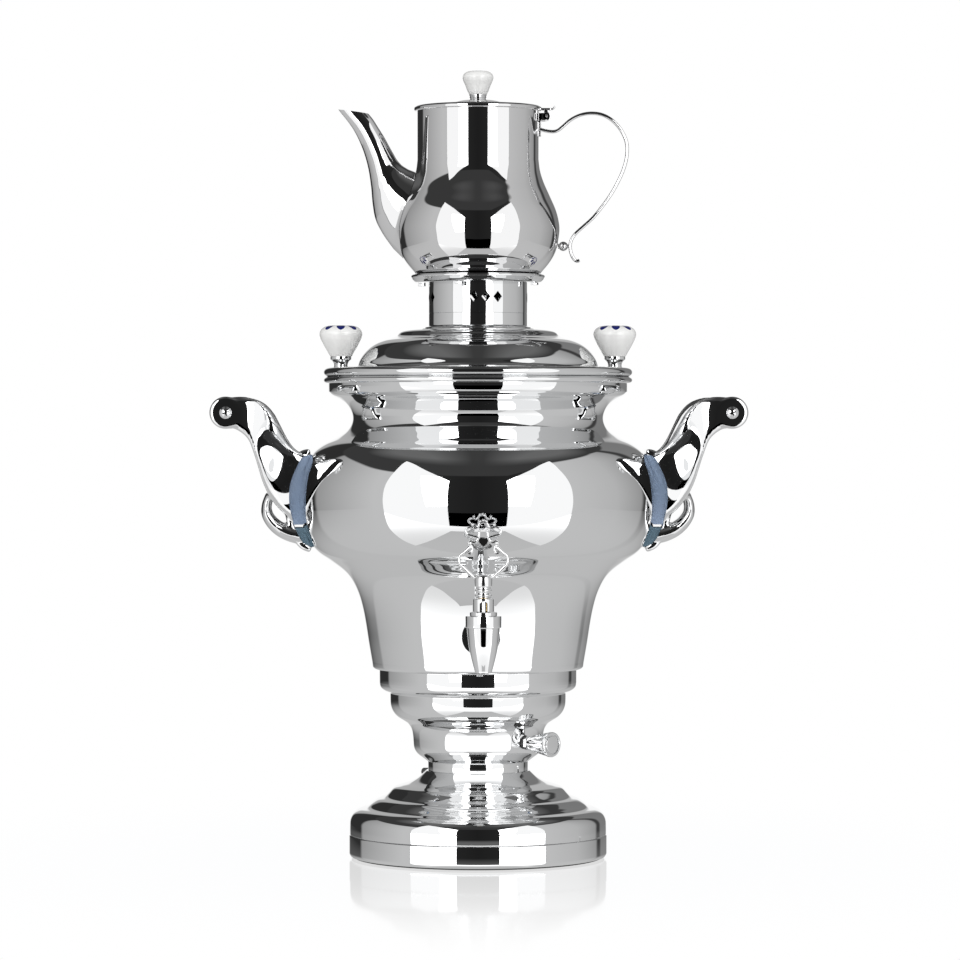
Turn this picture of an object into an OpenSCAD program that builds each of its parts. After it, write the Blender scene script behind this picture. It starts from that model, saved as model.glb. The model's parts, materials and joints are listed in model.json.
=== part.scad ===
// Electric tea samovar: pedestal base, waisted water tank with a plug tap and
// two side handles, lift-off lid, pot stand and a metal teapot on top.
// Millimetres. Z is up, the origin is on the vertical axis at the table, and
// the tap points towards -Y.

/* [Base] */
// Outer radius of the base band
base_r = 83.9; // [82:0.1:86]
// Height at which the base band ends and the cover starts
band_top = 15.3; // [14.5:0.1:16]
// Outer radius of the neck between base and housing
neck_r = 32.5; // [32:0.1:33]

/* [Tank] */
// Thickness of the sheet of base, housing, tank and lid
sheet = 1.0; // [0.8:0.1:1.1]
// Greatest radius of the tank, at its bulge
tank_r = 116.3; // [115:0.1:118]
// Radius of the tank mouth's upright skirt
mouth_r = 97.2; // [96.5:0.1:97.8]
// Height of the plane on which the lid rests
rim_z = 312; // [311.5:0.1:312]

/* [Lid and stand] */
// Outer radius of the steam tubes of lid and stand
tube_r = 32; // [31.5:0.1:32.5]
// Distance of the two lid knobs from the axis
knob_x = 89; // [88:0.1:90]
// Greatest radius of a lid knob
knob_r = 13.9; // [13:0.1:14.5]
// Number of groups of diamond vents in the stand
vent_groups = 3; // [2:1:4]

/* [Teapot] */
// Sheet thickness of the teapot
pot_sheet = 0.8; // [0.6:0.1:1]
// Greatest radius of the teapot's belly
pot_r = 53.2; // [52.5:0.1:54]
// Radius of the teapot's upright collar
pot_neck_r = 39.5; // [39:0.1:39.5]

/* [Handles] */
// Thickness of a handle arm
arm_t = 7; // [6:0.1:8]
// Distance of an arm's lug from the middle plane
lug_y = 33; // [30:0.1:35]
// Greatest radius of a grip
grip_r = 9; // [8:0.1:10]

/* [Tap] */
// Distance of the tap's turning axis from the samovar's axis
tap_y = 130; // [130:0.5:132]
// Height of the tap's inlet
inlet_z = 147; // [146:0.5:148]
// Thickness of the round bar of the tap's key
key_bar = 2.3; // [2:0.1:2.6]

/* [Hidden] */

$fn = 96;
CHROME = [0.80, 0.81, 0.83];
STEEL = [0.70, 0.71, 0.73];
BLACK = [0.10, 0.10, 0.11];
RUBBER = [0.53, 0.61, 0.74];
CERAMIC = [0.95, 0.95, 0.94];
BRASS = [0.72, 0.60, 0.32];
ALUMINIUM = [0.66, 0.67, 0.68];

// ---- curves, shells and sweeps ----

function chord(p, i) = norm(p[i + 1] - p[i]);
function reversed(p) = [for (i = [len(p) - 1 : -1 : 0]) p[i]];

// Direction of the curve at its point i, weighted by the spans beside it
function slope(p, i) =
    i == 0 ? (p[1] - p[0]) / chord(p, 0) :
    i == len(p) - 1 ? (p[i] - p[i - 1]) / chord(p, i - 1) :
    let (a = chord(p, i - 1), b = chord(p, i))
    ((p[i] - p[i - 1]) * b / a + (p[i + 1] - p[i]) * a / b) / (a + b);

// Point of the cubic span i at share t
function on_span(p, i, t) =
    let (h = chord(p, i), a = slope(p, i) * h, b = slope(p, i + 1) * h, d = p[i + 1] - p[i])
    p[i] + a * t + (3 * d - 2 * a - b) * t * t + (a + b - 2 * d) * t * t * t;

// Smooth curve through the points p, with n steps to a span
function smooth(p, n = 4) = concat(
    [for (i = [0 : len(p) - 2], k = [0 : n - 1]) on_span(p, i, k / n)],
    [p[len(p) - 1]]);

// Arc round c of radius r, from angle a to angle b
function arc(c, r, a, b, n = 8) =
    [for (i = [0 : n]) c + r * [cos(a + (b - a) * i / n), sin(a + (b - a) * i / n)]];

function left_of(d) = [-d[1], d[0]] / norm(d);

// The outline p moved to its left by t, mitred at its corners
function beside(p, t) = [for (i = [0 : len(p) - 1])
    let (a = left_of(p[max(i, 1)] - p[max(i, 1) - 1]),
        j = min(i, len(p) - 2),
        m = a + left_of(p[j + 1] - p[j]))
    p[i] + m * 2 * t / (m * m)];

// Sheet-metal shell turned from an outer outline that runs upwards
module shell(outline, t) {
    rotate_extrude()
        polygon(concat(outline, reversed(beside(outline, t))));
}

// Solid of revolution below an outline, closed to the axis
module turned(outline) {
    rotate_extrude()
        polygon(concat([[0, outline[0][1]]], outline, [[0, outline[len(outline) - 1][1]]]));
}

// Tube or disc between two radii and two heights
module ring(r_in, r_out, z0, z1) {
    rotate_extrude()
        polygon([[r_in, z0], [r_out, z0], [r_out, z1], [r_in, z1]]);
}

// Hexagon nut on the Z axis, measured across its corners
module hex_nut(r, bore, z0, z1) {
    difference() {
        translate([0, 0, z0])
            cylinder(r = r, h = z1 - z0, $fn = 6);
        translate([0, 0, z0 - 1])
            cylinder(r = bore, h = z1 - z0 + 2);
    }
}

// Oval ring of n points round c with half-axes u and v; power under 1 squares it
function oval(c, u, v, n, power = 1) = [for (k = [0 : n - 1])
    let (x = cos(360 * k / n), y = sin(360 * k / n))
    c + u * sign(x) * pow(abs(x), power) + v * sign(y) * pow(abs(y), power)];

function between_rings(i, j, n) = [for (k = [0 : n - 1]) each [
    [i * n + k, j * n + k, j * n + (k + 1) % n],
    [i * n + k, j * n + (k + 1) % n, i * n + (k + 1) % n]]];

// Solid through a row of rings with equal counts, closed by flat ends
module loft(rings) {
    n = len(rings[0]);
    last = (len(rings) - 1) * n;
    polyhedron([for (r = rings) each r], concat(
        [for (i = [0 : len(rings) - 2]) each between_rings(i, i + 1, n)],
        [for (k = [1 : n - 2]) [0, k, k + 1]],
        [for (k = [1 : n - 2]) [last, last + k + 1, last + k]]));
}

// Solid through a row of rings whose last ring joins its first
module loft_loop(rings) {
    n = len(rings[0]);
    m = len(rings);
    polyhedron([for (r = rings) each r],
        [for (i = [0 : m - 1]) each between_rings(i, (i + 1) % m, n)]);
}

// Direction of a path of 3-D points at its point i
function along(p, i) =
    let (d = p[min(i + 1, len(p) - 1)] - p[max(i - 1, 0)]) d / norm(d);

// Bar along a path that lies in an XZ plane: a across the plane, b in it
module bar(path, a, b, n = 8, power = 1) {
    loft([for (i = [0 : len(path) - 1])
        let (d = along(path, i))
        oval(path[i], [0, a, 0], [-d[2], 0, d[0]] * b, n, power)]);
}

function xz(p, y = 0) = [for (q = p) [q[0], y, q[1]]];

// ---- base ----

foot_z = 3;
pan_r = base_r - sheet - 0.1;
pan_t = 1.2;
rod_r = 4;
neck_z = 56.6;
housing_z = 62.6;
notch_turn = 48;
notch_w = 5;

module foot_ring() {
    foot_r = pan_r - 1.8;
    color(BLACK)
        rotate_extrude()
            polygon([[foot_r - 9, 0.6], [foot_r - 8.4, 0], [foot_r - 0.6, 0],
                [foot_r, 0.6], [foot_r, foot_z], [foot_r - 9, foot_z]]);
}

module base_pan() {
    slots = 10;
    wall = concat([[rod_r + 0.3, foot_z]],
        arc([pan_r - 1.8, foot_z + 1.8], 1.8, -90, 0, 4), [[pan_r, band_top - sheet]]);
    color(BLACK)
        difference() {
            shell(wall, pan_t);
            for (i = [0 : slots - 1])
                rotate([0, 0, i * 360 / slots])
                    translate([40, -2, foot_z - 1])
                        cube([22, 4, pan_t + 2]);
        }
}

module base_band() {
    corner = 1.1;
    wall = concat([[base_r - 1, 1], [base_r, 2.8]],
        arc([base_r - corner, band_top - corner], corner, 0, 90, 4), [[base_r - 10, band_top]]);
    color(CHROME)
        shell(wall, sheet);
}

// Arched notch through a wall, standing on height z, turned to the knob's side
module notch(r, z, h) {
    rotate([0, 0, notch_turn])
        translate([0, -r, z]) {
            translate([-notch_w / 2, -6, -1])
                cube([notch_w, 12, h - notch_w / 2 + 1]);
            translate([0, 6, h - notch_w / 2])
                rotate([90, 0, 0])
                    cylinder(d = notch_w, h = 12);
        }
}

cover_path = concat(smooth([[base_r - 0.4, band_top], [base_r - 0.4, 20.5], [base_r - 0.8, 25.2],
    [base_r - 2.7, 28.8], [base_r - 6.5, 31.4], [71.8, 33.1], [68.8, 35.6], [65, 38.1],
    [60.2, 39.9], [57.5, 42.5], [54.8, 45.4], [50.2, 47.2], [43.7, 49.2], [38.4, 52.2],
    [neck_r + 1, neck_z]], 3), [[neck_r - 6.5, neck_z]]);

gland_turn = 43;
gland_z = 52.4;
gland_r = 2.9;

// Places its children along the cord's exit: X outwards, at the rear left
module at_gland() {
    translate([0, 0, gland_z])
        rotate([0, 0, 90 + gland_turn])
            rotate([0, 90, 0])
                children();
}

module base_cover() {
    color(CHROME)
        difference() {
            shell(cover_path, sheet);
            notch(base_r, band_top, 5.2);
            at_gland()
                translate([0, 0, neck_r + 1.5])
                    cylinder(r = gland_r, h = 20);
        }
}

module cord_gland() {
    tip = 51;
    color(BLACK)
        at_gland()
            difference() {
                union() {
                    translate([0, 0, 24])
                        cylinder(r = gland_r, h = 19.5);
                    rotate_extrude()
                        polygon([[0, 43.5], [gland_r, 43.5], [gland_r - 0.5, tip], [0, tip]]);
                    translate([0, 0, 24])
                        cylinder(r = gland_r + 0.1, h = 2);
                }
                translate([0, 0, 20])
                    cylinder(r = 1.6, h = 40);
            }
}

module neck_collar() {
    color(CHROME)
        difference() {
            ring(neck_r - sheet, neck_r, neck_z, housing_z);
            notch(neck_r, neck_z, 4.8);
        }
}

// ---- housing of the heater, with the parts that it holds ----

seat_z = 122.6;
knob_turn = 45;
knob_z = 76.5;
housing_path = concat([[neck_r - 6.5, housing_z]],
    smooth([[neck_r + 0.5, housing_z], [36.2, 65], [39.9, 68], [41.6, 71], [42.1, 75], [42.4, 79],
        [43.5, 84], [45.6, 87.1], [49, 89.4], [52.9, 92], [55.5, 95.2], [56.9, 99],
        [57.2, 103], [57.2, 107]], 3),
    smooth([[58, 107.6], [61.8, 109.2], [63.6, 111], [64.2, 114]], 3),
    [[64.2, seat_z], [58, seat_z]]);

// Places its children on the thermostat's axis: Z outwards
module at_knob() {
    translate([0, 0, knob_z])
        rotate([0, 0, knob_turn - 90])
            rotate([0, 90, 0])
                children();
}

module lower_housing() {
    color(CHROME)
        difference() {
            shell(housing_path, sheet);
            at_knob()
                translate([0, 0, 36])
                    cylinder(r = 4, h = 12);
        }
}

plate_z = seat_z + sheet;
heater_h = 6;
element_r = 36;
element_z = plate_z - heater_h;
element_gap = 60;
leg_z = 102;

module tie_rod() {
    color(STEEL)
        translate([0, 0, 0.6])
            cylinder(r = rod_r, h = plate_z - 0.6);
}

// The nuts under and above the pan's floor, and the one that holds the heater
module tie_nuts() {
    color(STEEL) {
        hex_nut(7, rod_r, 0.8, foot_z);
        hex_nut(7, rod_r, foot_z + pan_t, foot_z + pan_t + 5);
        hex_nut(7.5, rod_r, element_z - 6, element_z);
    }
}

module heater_plate() {
    color(ALUMINIUM)
        ring(rod_r + 0.5, 50, element_z, plate_z);
}

// Tubular heating ring, flattened where it lies on its plate, with two cold ends
module heating_element() {
    w = 4;
    color(STEEL)
        rotate([0, 0, 180 + element_gap / 2]) {
            rotate_extrude(angle = 360 - element_gap)
                polygon(concat(arc([element_r, element_z - w], w, 180, 360, 12),
                    [[element_r + w, element_z], [element_r - w, element_z]]));
            for (a = [0, -element_gap])
                rotate([0, 0, a])
                    translate([element_r, 0, leg_z])
                        cylinder(r = 3, h = element_z - leg_z - 2);
        }
}

module thermal_cutout() {
    color(BLACK)
        translate([0, 18, element_z - 6])
            difference() {
                union() {
                    cylinder(r = 8, h = 6);
                    for (s = [-1, 1])
                        translate([s * 4 - 0.4, -2.5, -8])
                            cube([0.8, 5, 9]);
                }
                translate([0, 0, -1])
                    cylinder(r = 1.5, h = 3);
            }
}

// Ceramic block that the heater's cold ends stand on
module terminal_block() {
    x = element_r * cos(element_gap / 2);
    y = element_r * sin(element_gap / 2);
    color(CERAMIC)
        difference() {
            translate([-x - 6, -y - 5, leg_z - 10])
                cube([12, 2 * y + 10, 10]);
            for (s = [-1, 0, 1])
                translate([-x, s * y * 0.6, leg_z - 11])
                    cylinder(r = 2, h = 7);
        }
}

bush_r = 3.2;
spindle_r = 2;
knob_start = 46.6;
knob_end = 65.7;

module thermostat_body() {
    color(BLACK)
        at_knob()
            difference() {
                union() {
                    translate([-9, -11, 14])
                        cube([18, 22, 15]);
                    cylinder_at(bush_r, 29, knob_start - 0.4);
                }
                cylinder_at(spindle_r + 0.05, 26, knob_start);
            }
}

// Cylinder on the Z axis between two heights
module cylinder_at(r, z0, z1) {
    translate([0, 0, z0])
        cylinder(r = r, h = z1 - z0);
}

module thermostat_grommet() {
    color(BLACK)
        at_knob()
            rotate_extrude()
                polygon([[bush_r, 40], [4, 40], [4, 43], [4.4, 43], [4.4, 43.7],
                    [4.1, 44], [bush_r, 44]]);
}

module thermostat_nut() {
    color(CHROME)
        at_knob()
            hex_nut(4.6, bush_r, 44, 46);
}

module thermostat_spindle() {
    color(STEEL)
        at_knob()
            cylinder_at(spindle_r, 27, knob_end - 6);
}

// Tapered knob with flutes that deepen towards its face
module thermostat_knob() {
    flutes = 16;
    back_r = 4.7;
    front_r = 8;
    color(CHROME)
        at_knob()
            difference() {
                rotate_extrude()
                    polygon([[spindle_r, knob_start], [back_r - 0.5, knob_start],
                        [back_r, knob_start + 0.6], [front_r - 0.2, knob_end - 2.6],
                        [front_r, knob_end - 2], [front_r, knob_end - 0.5],
                        [front_r - 0.5, knob_end], [front_r - 1.4, knob_end],
                        [front_r - 1.4, knob_end - 1.2], [spindle_r, knob_end - 1.2]]);
                for (i = [0 : flutes - 1])
                    rotate([0, 0, i * 360 / flutes])
                        translate([front_r - 0.3, 0, knob_start + 3])
                            cylinder(r = 1, h = knob_end - knob_start - 6.3);
            }
}

module thermostat_cap() {
    color(CHROME)
        at_knob()
            rotate_extrude()
                polygon([[0, knob_end - 1.2], [5.6, knob_end - 1.2], [5.6, knob_end - 0.3],
                    [5.3, knob_end], [0, knob_end]]);
}

// ---- tank ----

tank_wall = concat(arc([66.2, seat_z + 2.6], 2.6, -90, -15, 5),
    smooth([[69, 127], [71.4, 141], [73, 151.5], [75, 162], [78, 172.3], [83.5, 182.7],
        [95.9, 193], [103.7, 198.3], [109.2, 204.8], [tank_r - 3.3, 212.6], [tank_r - 1, 222],
        [tank_r, 236], [tank_r - 1.3, 245.7], [112.3, 253.8], [106.4, 263.8], [100.4, 268.5],
        [90, 273.7], [83.5, 279], [81.3, 285.5], [82.2, 289.3], [85.5, 294.5],
        [90.5, 298], [mouth_r - 1.2, 300.8], [mouth_r, 302.6]], 4));
tank_table = [for (p = tank_wall) [p[1], p[0]]];
function tank_at(z) = lookup(z, tank_table);

tap_bore = 6.5;
bolt_z = [229, 245];
bolt_r = 2.5;

// Solid of the tank's outside between two heights, made smaller by a margin
module tank_core(z0, z1, margin = 0, steps = 1) {
    turned([for (i = [0 : steps])
        let (z = z0 + (z1 - z0) * i / steps)
        [tank_at(z) - margin, z]]);
}

// The tank's wall in four rings that are joined at their edges: places in
// tank_outer at the foot, the cone's end, the bulge, the waist and the rim
tank_outer = concat([[57, seat_z]], tank_wall, [[mouth_r, rim_z - 1]]);
tank_inner = beside(tank_outer, sheet);
cone_end = 27;
bulge = 51;
waist = 79;

// Ring of the wall from place i of its outline to place j
module tank_ring(i, j) {
    rotate_extrude()
        polygon(concat([for (k = [i : j]) tank_outer[k]],
            [for (k = [j : -1 : i]) tank_inner[k]]));
}

module tank_cone() {
    color(CHROME)
        difference() {
            tank_ring(0, cone_end);
            translate([0, -60, inlet_z])
                rotate([90, 0, 0])
                    cylinder(r = tap_bore, h = 20);
        }
}

module side_bolt_hole(z) {
    for (side = [-1, 1])
        translate([side * 108, 0, z])
            rotate([0, side * 90, 0])
                cylinder(r = bolt_r, h = 14);
}

module tank_bowl() {
    color(CHROME)
        difference() {
            tank_ring(cone_end, bulge);
            side_bolt_hole(bolt_z[0]);
        }
}

module tank_shoulder() {
    color(CHROME)
        difference() {
            tank_ring(bulge, waist);
            side_bolt_hole(bolt_z[1]);
        }
}

// Waist and rim, whose edge is rolled outwards
module tank_neck() {
    bead_r = 2.1;
    last = len(tank_outer) - 1;
    color(CHROME)
        rotate_extrude()
            polygon(concat([for (k = [waist : last - 1]) tank_outer[k]],
                arc([mouth_r + 1.2, rim_z - bead_r], bead_r, -125, 90, 10),
                [[mouth_r - sheet, rim_z]], [for (k = [last : -1 : waist]) tank_inner[k]]));
}

module tank_bottom() {
    color(STEEL)
        ring(0, 66, plate_z, plate_z + 1.2);
}

// ---- handles: a casting with two diverging arms, a grip between its lugs ----

lug_x = 162.5;
lug_z = 288.8;
lug_r = 10.5;
pad_half = 15;

// Outer face of the gasket, from its foot to its top
pad_path = smooth([[107.6, 202], [112.6, 204.2], [117.8, 212.6], [120.9, 222.5],
    [122.4, 234], [121.4, 243.5], [118, 252.4], [112.4, 261], [108.4, 261.6]], 2);

// Upper and lower edge of an arm, from the gasket to the lug
arm_top = smooth([[100, 257], [112, 261.4], [119, 265.6], [124.6, 273.3], [128.6, 281],
    [133.4, 289.4], [140, 295.8], [148, 298.8], [156, 299.2], [lug_x, lug_z + 9]], 2);
arm_low = smooth([[100, 215], [118.3, 218.6], [127.5, 225], [134.4, 233.4], [138.9, 242.6],
    [142, 253], [144.6, 262], [149, 272.6], [155.4, 277.6], [lug_x, lug_z - 9]], 2);

// Underside of the saddle that joins the arms, from the gasket's foot upwards
saddle_path = smooth([[104, 201.8], [113, 203], [122.6, 205], [131, 209.2], [137.4, 215.6],
    [140.8, 223], [140.4, 230.4], [137.6, 237.6]], 2);

// Block behind the gasket's outer face; foot lets it reach below the gasket
module pad_prism(half, foot = 0) {
    rotate([90, 0, 0])
        translate([0, 0, -half])
            linear_extrude(2 * half)
                polygon(concat(pad_path, [[90, 261.6], [90, 202 - foot], [107.6 - foot, 202 - foot]]));
}

module handle_gasket() {
    color(RUBBER)
        difference() {
            pad_prism(pad_half);
            tank_core(196, 266, -0.1, 16);
            for (z = bolt_z)
                translate([108, 0, z])
                    rotate([0, 90, 0])
                        cylinder(r = bolt_r, h = 20);
        }
}

// One arm: s is its side, and it leans outwards in Y until it reaches its lug
module arm(s) {
    last = len(arm_top) - 1;
    loft([for (i = [0 : last])
        let (share = min(1, i / last / 0.86),
            y = s * (11.2 + (lug_y - 11.2) * pow(sin(90 * share), 2.2)),
            a = arm_top[i],
            b = arm_low[i],
            c = (a + b) / 2,
            u = (b - a) / 2)
        oval([c[0], y, c[1]], [u[0], 0, u[1]], [0, arm_t / 2, 0], 16, 0.7)]);
}

// Rounded underside between the arms, thick at the gasket and thin at its end
module saddle() {
    last = len(saddle_path) - 1;
    loft([for (i = [0 : last])
        let (share = i / last,
            d = along(saddle_path, i),
            t = 6.6 - 3.6 * share,
            c = saddle_path[i] + t * [-d[1], d[0]])
        oval([c[0], 0, c[1]], [d[1], 0, -d[0]] * t, [0, 14 + 3 * share, 0], 16, 0.8)]);
}

module handle_bracket() {
    color(CHROME)
        difference() {
            union() {
                for (s = [-1, 1]) {
                    arm(s);
                    translate([lug_x, s * lug_y + arm_t / 2, lug_z])
                        rotate([90, 0, 0])
                            cylinder(r = lug_r, h = arm_t);
                }
                saddle();
                rotate([90, 0, 0])
                    translate([0, 0, -13])
                        linear_extrude(26)
                            polygon(concat(pad_path, reversed(beside(pad_path, -4))));
            }
            pad_prism(lug_y + 20, 8);
            for (s = [-1, 1])
                translate([lug_x, s * lug_y + arm_t, lug_z])
                    rotate([90, 0, 0])
                        cylinder(r = 2.2, h = 2 * arm_t);
            for (z = bolt_z)
                translate([108, 0, z])
                    rotate([0, 90, 0])
                        cylinder(r = bolt_r, h = 16);
        }
}

// Slightly barrelled grip between the lugs
module handle_grip() {
    half = lug_y - arm_t / 2;
    color(CHROME)
        translate([lug_x, 0, lug_z])
            rotate([90, 0, 0])
                difference() {
                    turned(smooth([[grip_r - 2, -half], [grip_r - 0.6, -half * 0.6], [grip_r, 0],
                        [grip_r - 0.6, half * 0.6], [grip_r - 2, half]], 4));
                    for (s = [-1, 1])
                        translate([0, 0, s * (half - 7) - 7])
                            cylinder(r = 2.2, h = 14);
                }
}

module grip_screws() {
    color(CHROME)
        for (side = [-1, 1], s = [-1, 1])
            translate([side * lug_x, 0, lug_z])
                rotate([s * 90, 0, 0])
                    difference() {
                        rotate_extrude()
                            polygon(concat([[0, lug_y - 9], [2.2, lug_y - 9],
                                [2.2, lug_y + arm_t / 2]],
                                arc([0, lug_y + arm_t / 2 - 3.2], 5.1, 39, 90, 6)));
                        for (a = [0, 90])
                            rotate([0, 0, a])
                                translate([-2, -0.4, lug_y + arm_t / 2 + 0.7])
                                    cube([4, 0.8, 3]);
                    }
}

// Bolts from inside the tank, with soft washers that seal the wall
module handle_bolts() {
    color(STEEL)
        for (side = [-1, 1], z = bolt_z)
            translate([side * 108.5, 0, z])
                rotate([0, side * 90, 0]) {
                    cylinder(r = bolt_r, h = 14.5);
                    cylinder(r = 4.6, h = 3, $fn = 6);
                }
}

module handle_washers() {
    color(BLACK)
        for (side = [-1, 1], z = bolt_z)
            intersection() {
                translate([side * 111.5, 0, z])
                    rotate([0, side * 90, 0])
                        difference() {
                            cylinder(r = 5.5, h = 6);
                            translate([0, 0, -1])
                                cylinder(r = bolt_r, h = 8);
                        }
                tank_core(z - 6, z + 6, sheet + 0.02, $fn = 720);
            }
}

// ---- tap: tapered plug in a seat, turned by an openwork key ----

barrel_top = 163;
seat_low = 136;
seat_top_r = 7;
seat_low_r = 5;
plug_gap = 0.07;
stem_r = 3.6;
port_r = 3.2;
flange_y = 74.6;

module at_tap() {
    translate([0, -tap_y, 0])
        children();
}

// Cylinder along Y from y0 to y1 at the inlet's height
module inlet(r, y0, y1) {
    translate([0, -y0, inlet_z])
        rotate([90, 0, 0])
            cylinder(r = r, h = y1 - y0);
}

module tap_body() {
    color(CHROME)
        difference() {
            union() {
                at_tap()
                    turned([[5.2, 127.6], [6.8, 133.8], [8.65, 141.7], [10.25, 155.5],
                        [11.25, 155.5], [11.25, barrel_top]]);
                inlet(tap_bore, 62, tap_y);
                inlet(7.6, flange_y + 3, flange_y + 6);
                inlet(12.4, flange_y, flange_y + 3);
            }
            at_tap() {
                translate([0, 0, seat_low])
                    cylinder(r1 = seat_low_r, r2 = seat_top_r, h = barrel_top - seat_low);
                translate([0, 0, 120])
                    cylinder(r = seat_low_r - 0.9, h = 20);
            }
            inlet(port_r, 50, tap_y - 3);
        }
}

// Soft rings outside and inside the tank's wall, under the flange and the locknut
module tap_seals() {
    color(BLACK) {
        difference() {
            inlet(11.8, 66, flange_y);
            tank_core(inlet_z - 13, inlet_z + 13, -0.1, $fn = 720);
            inlet(tap_bore, 60, flange_y + 1);
        }
        intersection() {
            difference() {
                inlet(10.5, 68.6, 78);
                inlet(tap_bore, 60, 80);
            }
            tank_core(inlet_z - 13, inlet_z + 13, sheet + 0.2, 8, $fn = 720);
        }
    }
}

module tap_locknut() {
    color(BRASS)
        translate([0, -62.6, inlet_z])
            rotate([90, 0, 0])
                hex_nut(11, tap_bore, 0, 6);
}

bonnet_top = 174;
pin_y = 5;
pin_r = 1.4;
cam_r = 4.8;

// Cap over the plug, with a window in front for the stop pin
module tap_bonnet() {
    color(CHROME)
        at_tap()
            difference() {
                turned([[8.55, barrel_top], [8.55, 165.3], [6.7, 165.3], [6.7, 173.4],
                    [6.1, bonnet_top]]);
                translate([0, 0, barrel_top - 1])
                    cylinder(r = cam_r + 0.2, h = 10);
                translate([0, 0, 170])
                    cylinder(r = stem_r + 0.06, h = 6);
                translate([0, -pin_y, barrel_top - 1])
                    cylinder(r = pin_r, h = 10.4);
                translate([-2.4, -9, 165.3])
                    cube([4.8, 6, 7.1]);
            }
}

module tap_stop_pin() {
    color(CHROME)
        at_tap()
            translate([0, -pin_y, barrel_top + 0.2])
                cylinder(r = pin_r, h = 9.1);
}

// Tapered plug: hollow from below, with one side port, and a cam that meets
// the stop pin at either end of a quarter turn
module tap_plug() {
    cam_gap = 130;
    color(BRASS)
        at_tap()
            difference() {
                union() {
                    translate([0, 0, seat_low])
                        cylinder(r1 = seat_low_r - plug_gap, r2 = seat_top_r - plug_gap - 0.01,
                            h = barrel_top - 0.1 - seat_low);
                    cylinder_at(stem_r - 0.2, barrel_top - 1, 172.6);
                    cylinder_at(stem_r, 172.6, 186);
                    rotate([0, 0, cam_gap / 2 - 90 - 45])
                        rotate_extrude(angle = 360 - cam_gap)
                            polygon([[0, 166], [cam_r, 166], [cam_r, 171], [0, 171]]);
                }
                translate([0, 0, seat_low - 1])
                    cylinder(r = 3.4, h = inlet_z + 5 - seat_low);
                translate([0, 0, inlet_z])
                    rotate([0, 90, 0])
                        cylinder(r = port_r, h = 12);
            }
}

// The key's wires, right half first: x from the axis, height above the hub's foot
key_foot = 174;
key_hoop = [[4.2, 12], [9, 16.6], [13.2, 20.8], [15.6, 22.4], [16.2, 25.6], [14.6, 29.8],
    [11.4, 33.2], [9.4, 36.4], [6.8, 36.4], [4.6, 38.2], [3.3, 41.2], [2.6, 44.2],
    [1.3, 42], [0, 41.2]];
key_crown = [[2.9, 40.4], [6.6, 40.8], [9.4, 42.2], [10, 44.4], [8.2, 46.2], [5.9, 46.9],
    [4.3, 45.9], [2.6, 47.7], [1.2, 50.2], [0, 50.8]];
key_hook = [[12, 32.4], [8.8, 30.4], [7, 32.4], [7.4, 35.2], [8.7, 36.3]];

// A right half followed by its own mirror image
function both_sides(p) = concat(p, [for (i = [len(p) - 2 : -1 : 0]) [-p[i][0], p[i][1]]]);

module tap_key() {
    color(CHROME)
        at_tap() {
            difference() {
                translate([0, 0, key_foot])
                    turned([[4.9, 0.2], [5.5, 1], [5.5, 2.4], [4.7, 3.2], [5.3, 4], [5.3, 5.6],
                        [4.8, 6.6], [5.4, 7.2], [5.4, 13], [4.6, 14.2], [2.6, 14.8]]);
                translate([0, 0, key_foot - 1])
                    cylinder(r = stem_r, h = 13);
            }
            translate([0, 0, key_foot]) {
                bar(xz(smooth(both_sides(key_hoop), 2)), key_bar / 2, key_bar / 2);
                bar(xz(smooth(both_sides(key_crown), 2)), key_bar / 2.1, key_bar / 2.1);
                for (side = [0, 1])
                    mirror([side, 0, 0])
                        bar(xz(smooth(key_hook, 2)), key_bar / 2.3, key_bar / 2.3);
            }
        }
}

// ---- lid ----

flange_z = rim_z + 6;
lid_dome = concat([[mouth_r - 0.5, flange_z]], smooth([[80.4, flange_z], [78.7, 319], [77, 323],
    [73.3, 328.3], [68.8, 332.4], [62.6, 335.6], [56.5, 337.2], [53, 338.6], [50.8, 341],
    [47.4, 342.2], [40, 342.4]], 3), [[tube_r - 1.2, 342.4]]);

module lid_shell() {
    bead_r = 3;
    bead_c = [mouth_r + 0.3, flange_z - bead_r];
    color(CHROME)
        difference() {
            rotate_extrude()
                polygon(concat(arc(bead_c, bead_r, -80, 90, 10), lid_dome,
                    reversed(beside(lid_dome, sheet)), [[mouth_r - 0.8, rim_z]]));
            for (s = [-1, 1])
                translate([s * knob_x, 0, rim_z])
                    cylinder(r = 2.1, h = 8);
        }
}

module lid_skirt() {
    color(STEEL)
        ring(mouth_r - 3, mouth_r - 2, rim_z - 9, flange_z - sheet);
}

tube_z = 342.4;
stand_z = 353.3;

module lid_tube() {
    color(CHROME)
        rotate_extrude()
            polygon([[tube_r - 1.2, tube_z], [tube_r + 4.6, tube_z], [tube_r + 4.4, tube_z + 0.9],
                [tube_r + 2.6, tube_z + 1.1], [tube_r + 2.4, tube_z + 1.9],
                [tube_r + 0.8, tube_z + 2.2], [tube_r, tube_z + 3], [tube_r, stand_z],
                [tube_r - 1.2, stand_z]]);
}

knob_z0 = 325.5;

module ceramic_knob(r, z0, h) {
    color(CERAMIC)
        difference() {
            translate([0, 0, z0])
                turned(smooth([[0.51 * r, 0], [0.63 * r, 0.14 * h], [0.83 * r, 0.40 * h],
                    [0.97 * r, 0.62 * h], [r, 0.71 * h], [0.95 * r, 0.84 * h],
                    [0.78 * r, 0.95 * h], [0.45 * r, h]], 4));
            translate([0, 0, z0 - 1])
                cylinder(r = 2, h = 0.55 * h + 1);
        }
}

module lid_knob_left() {
    translate([-knob_x, 0, 0])
        ceramic_knob(knob_r, knob_z0, 20);
}

module lid_knob_right() {
    translate([knob_x, 0, 0])
        ceramic_knob(knob_r, knob_z0, 20);
}

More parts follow.
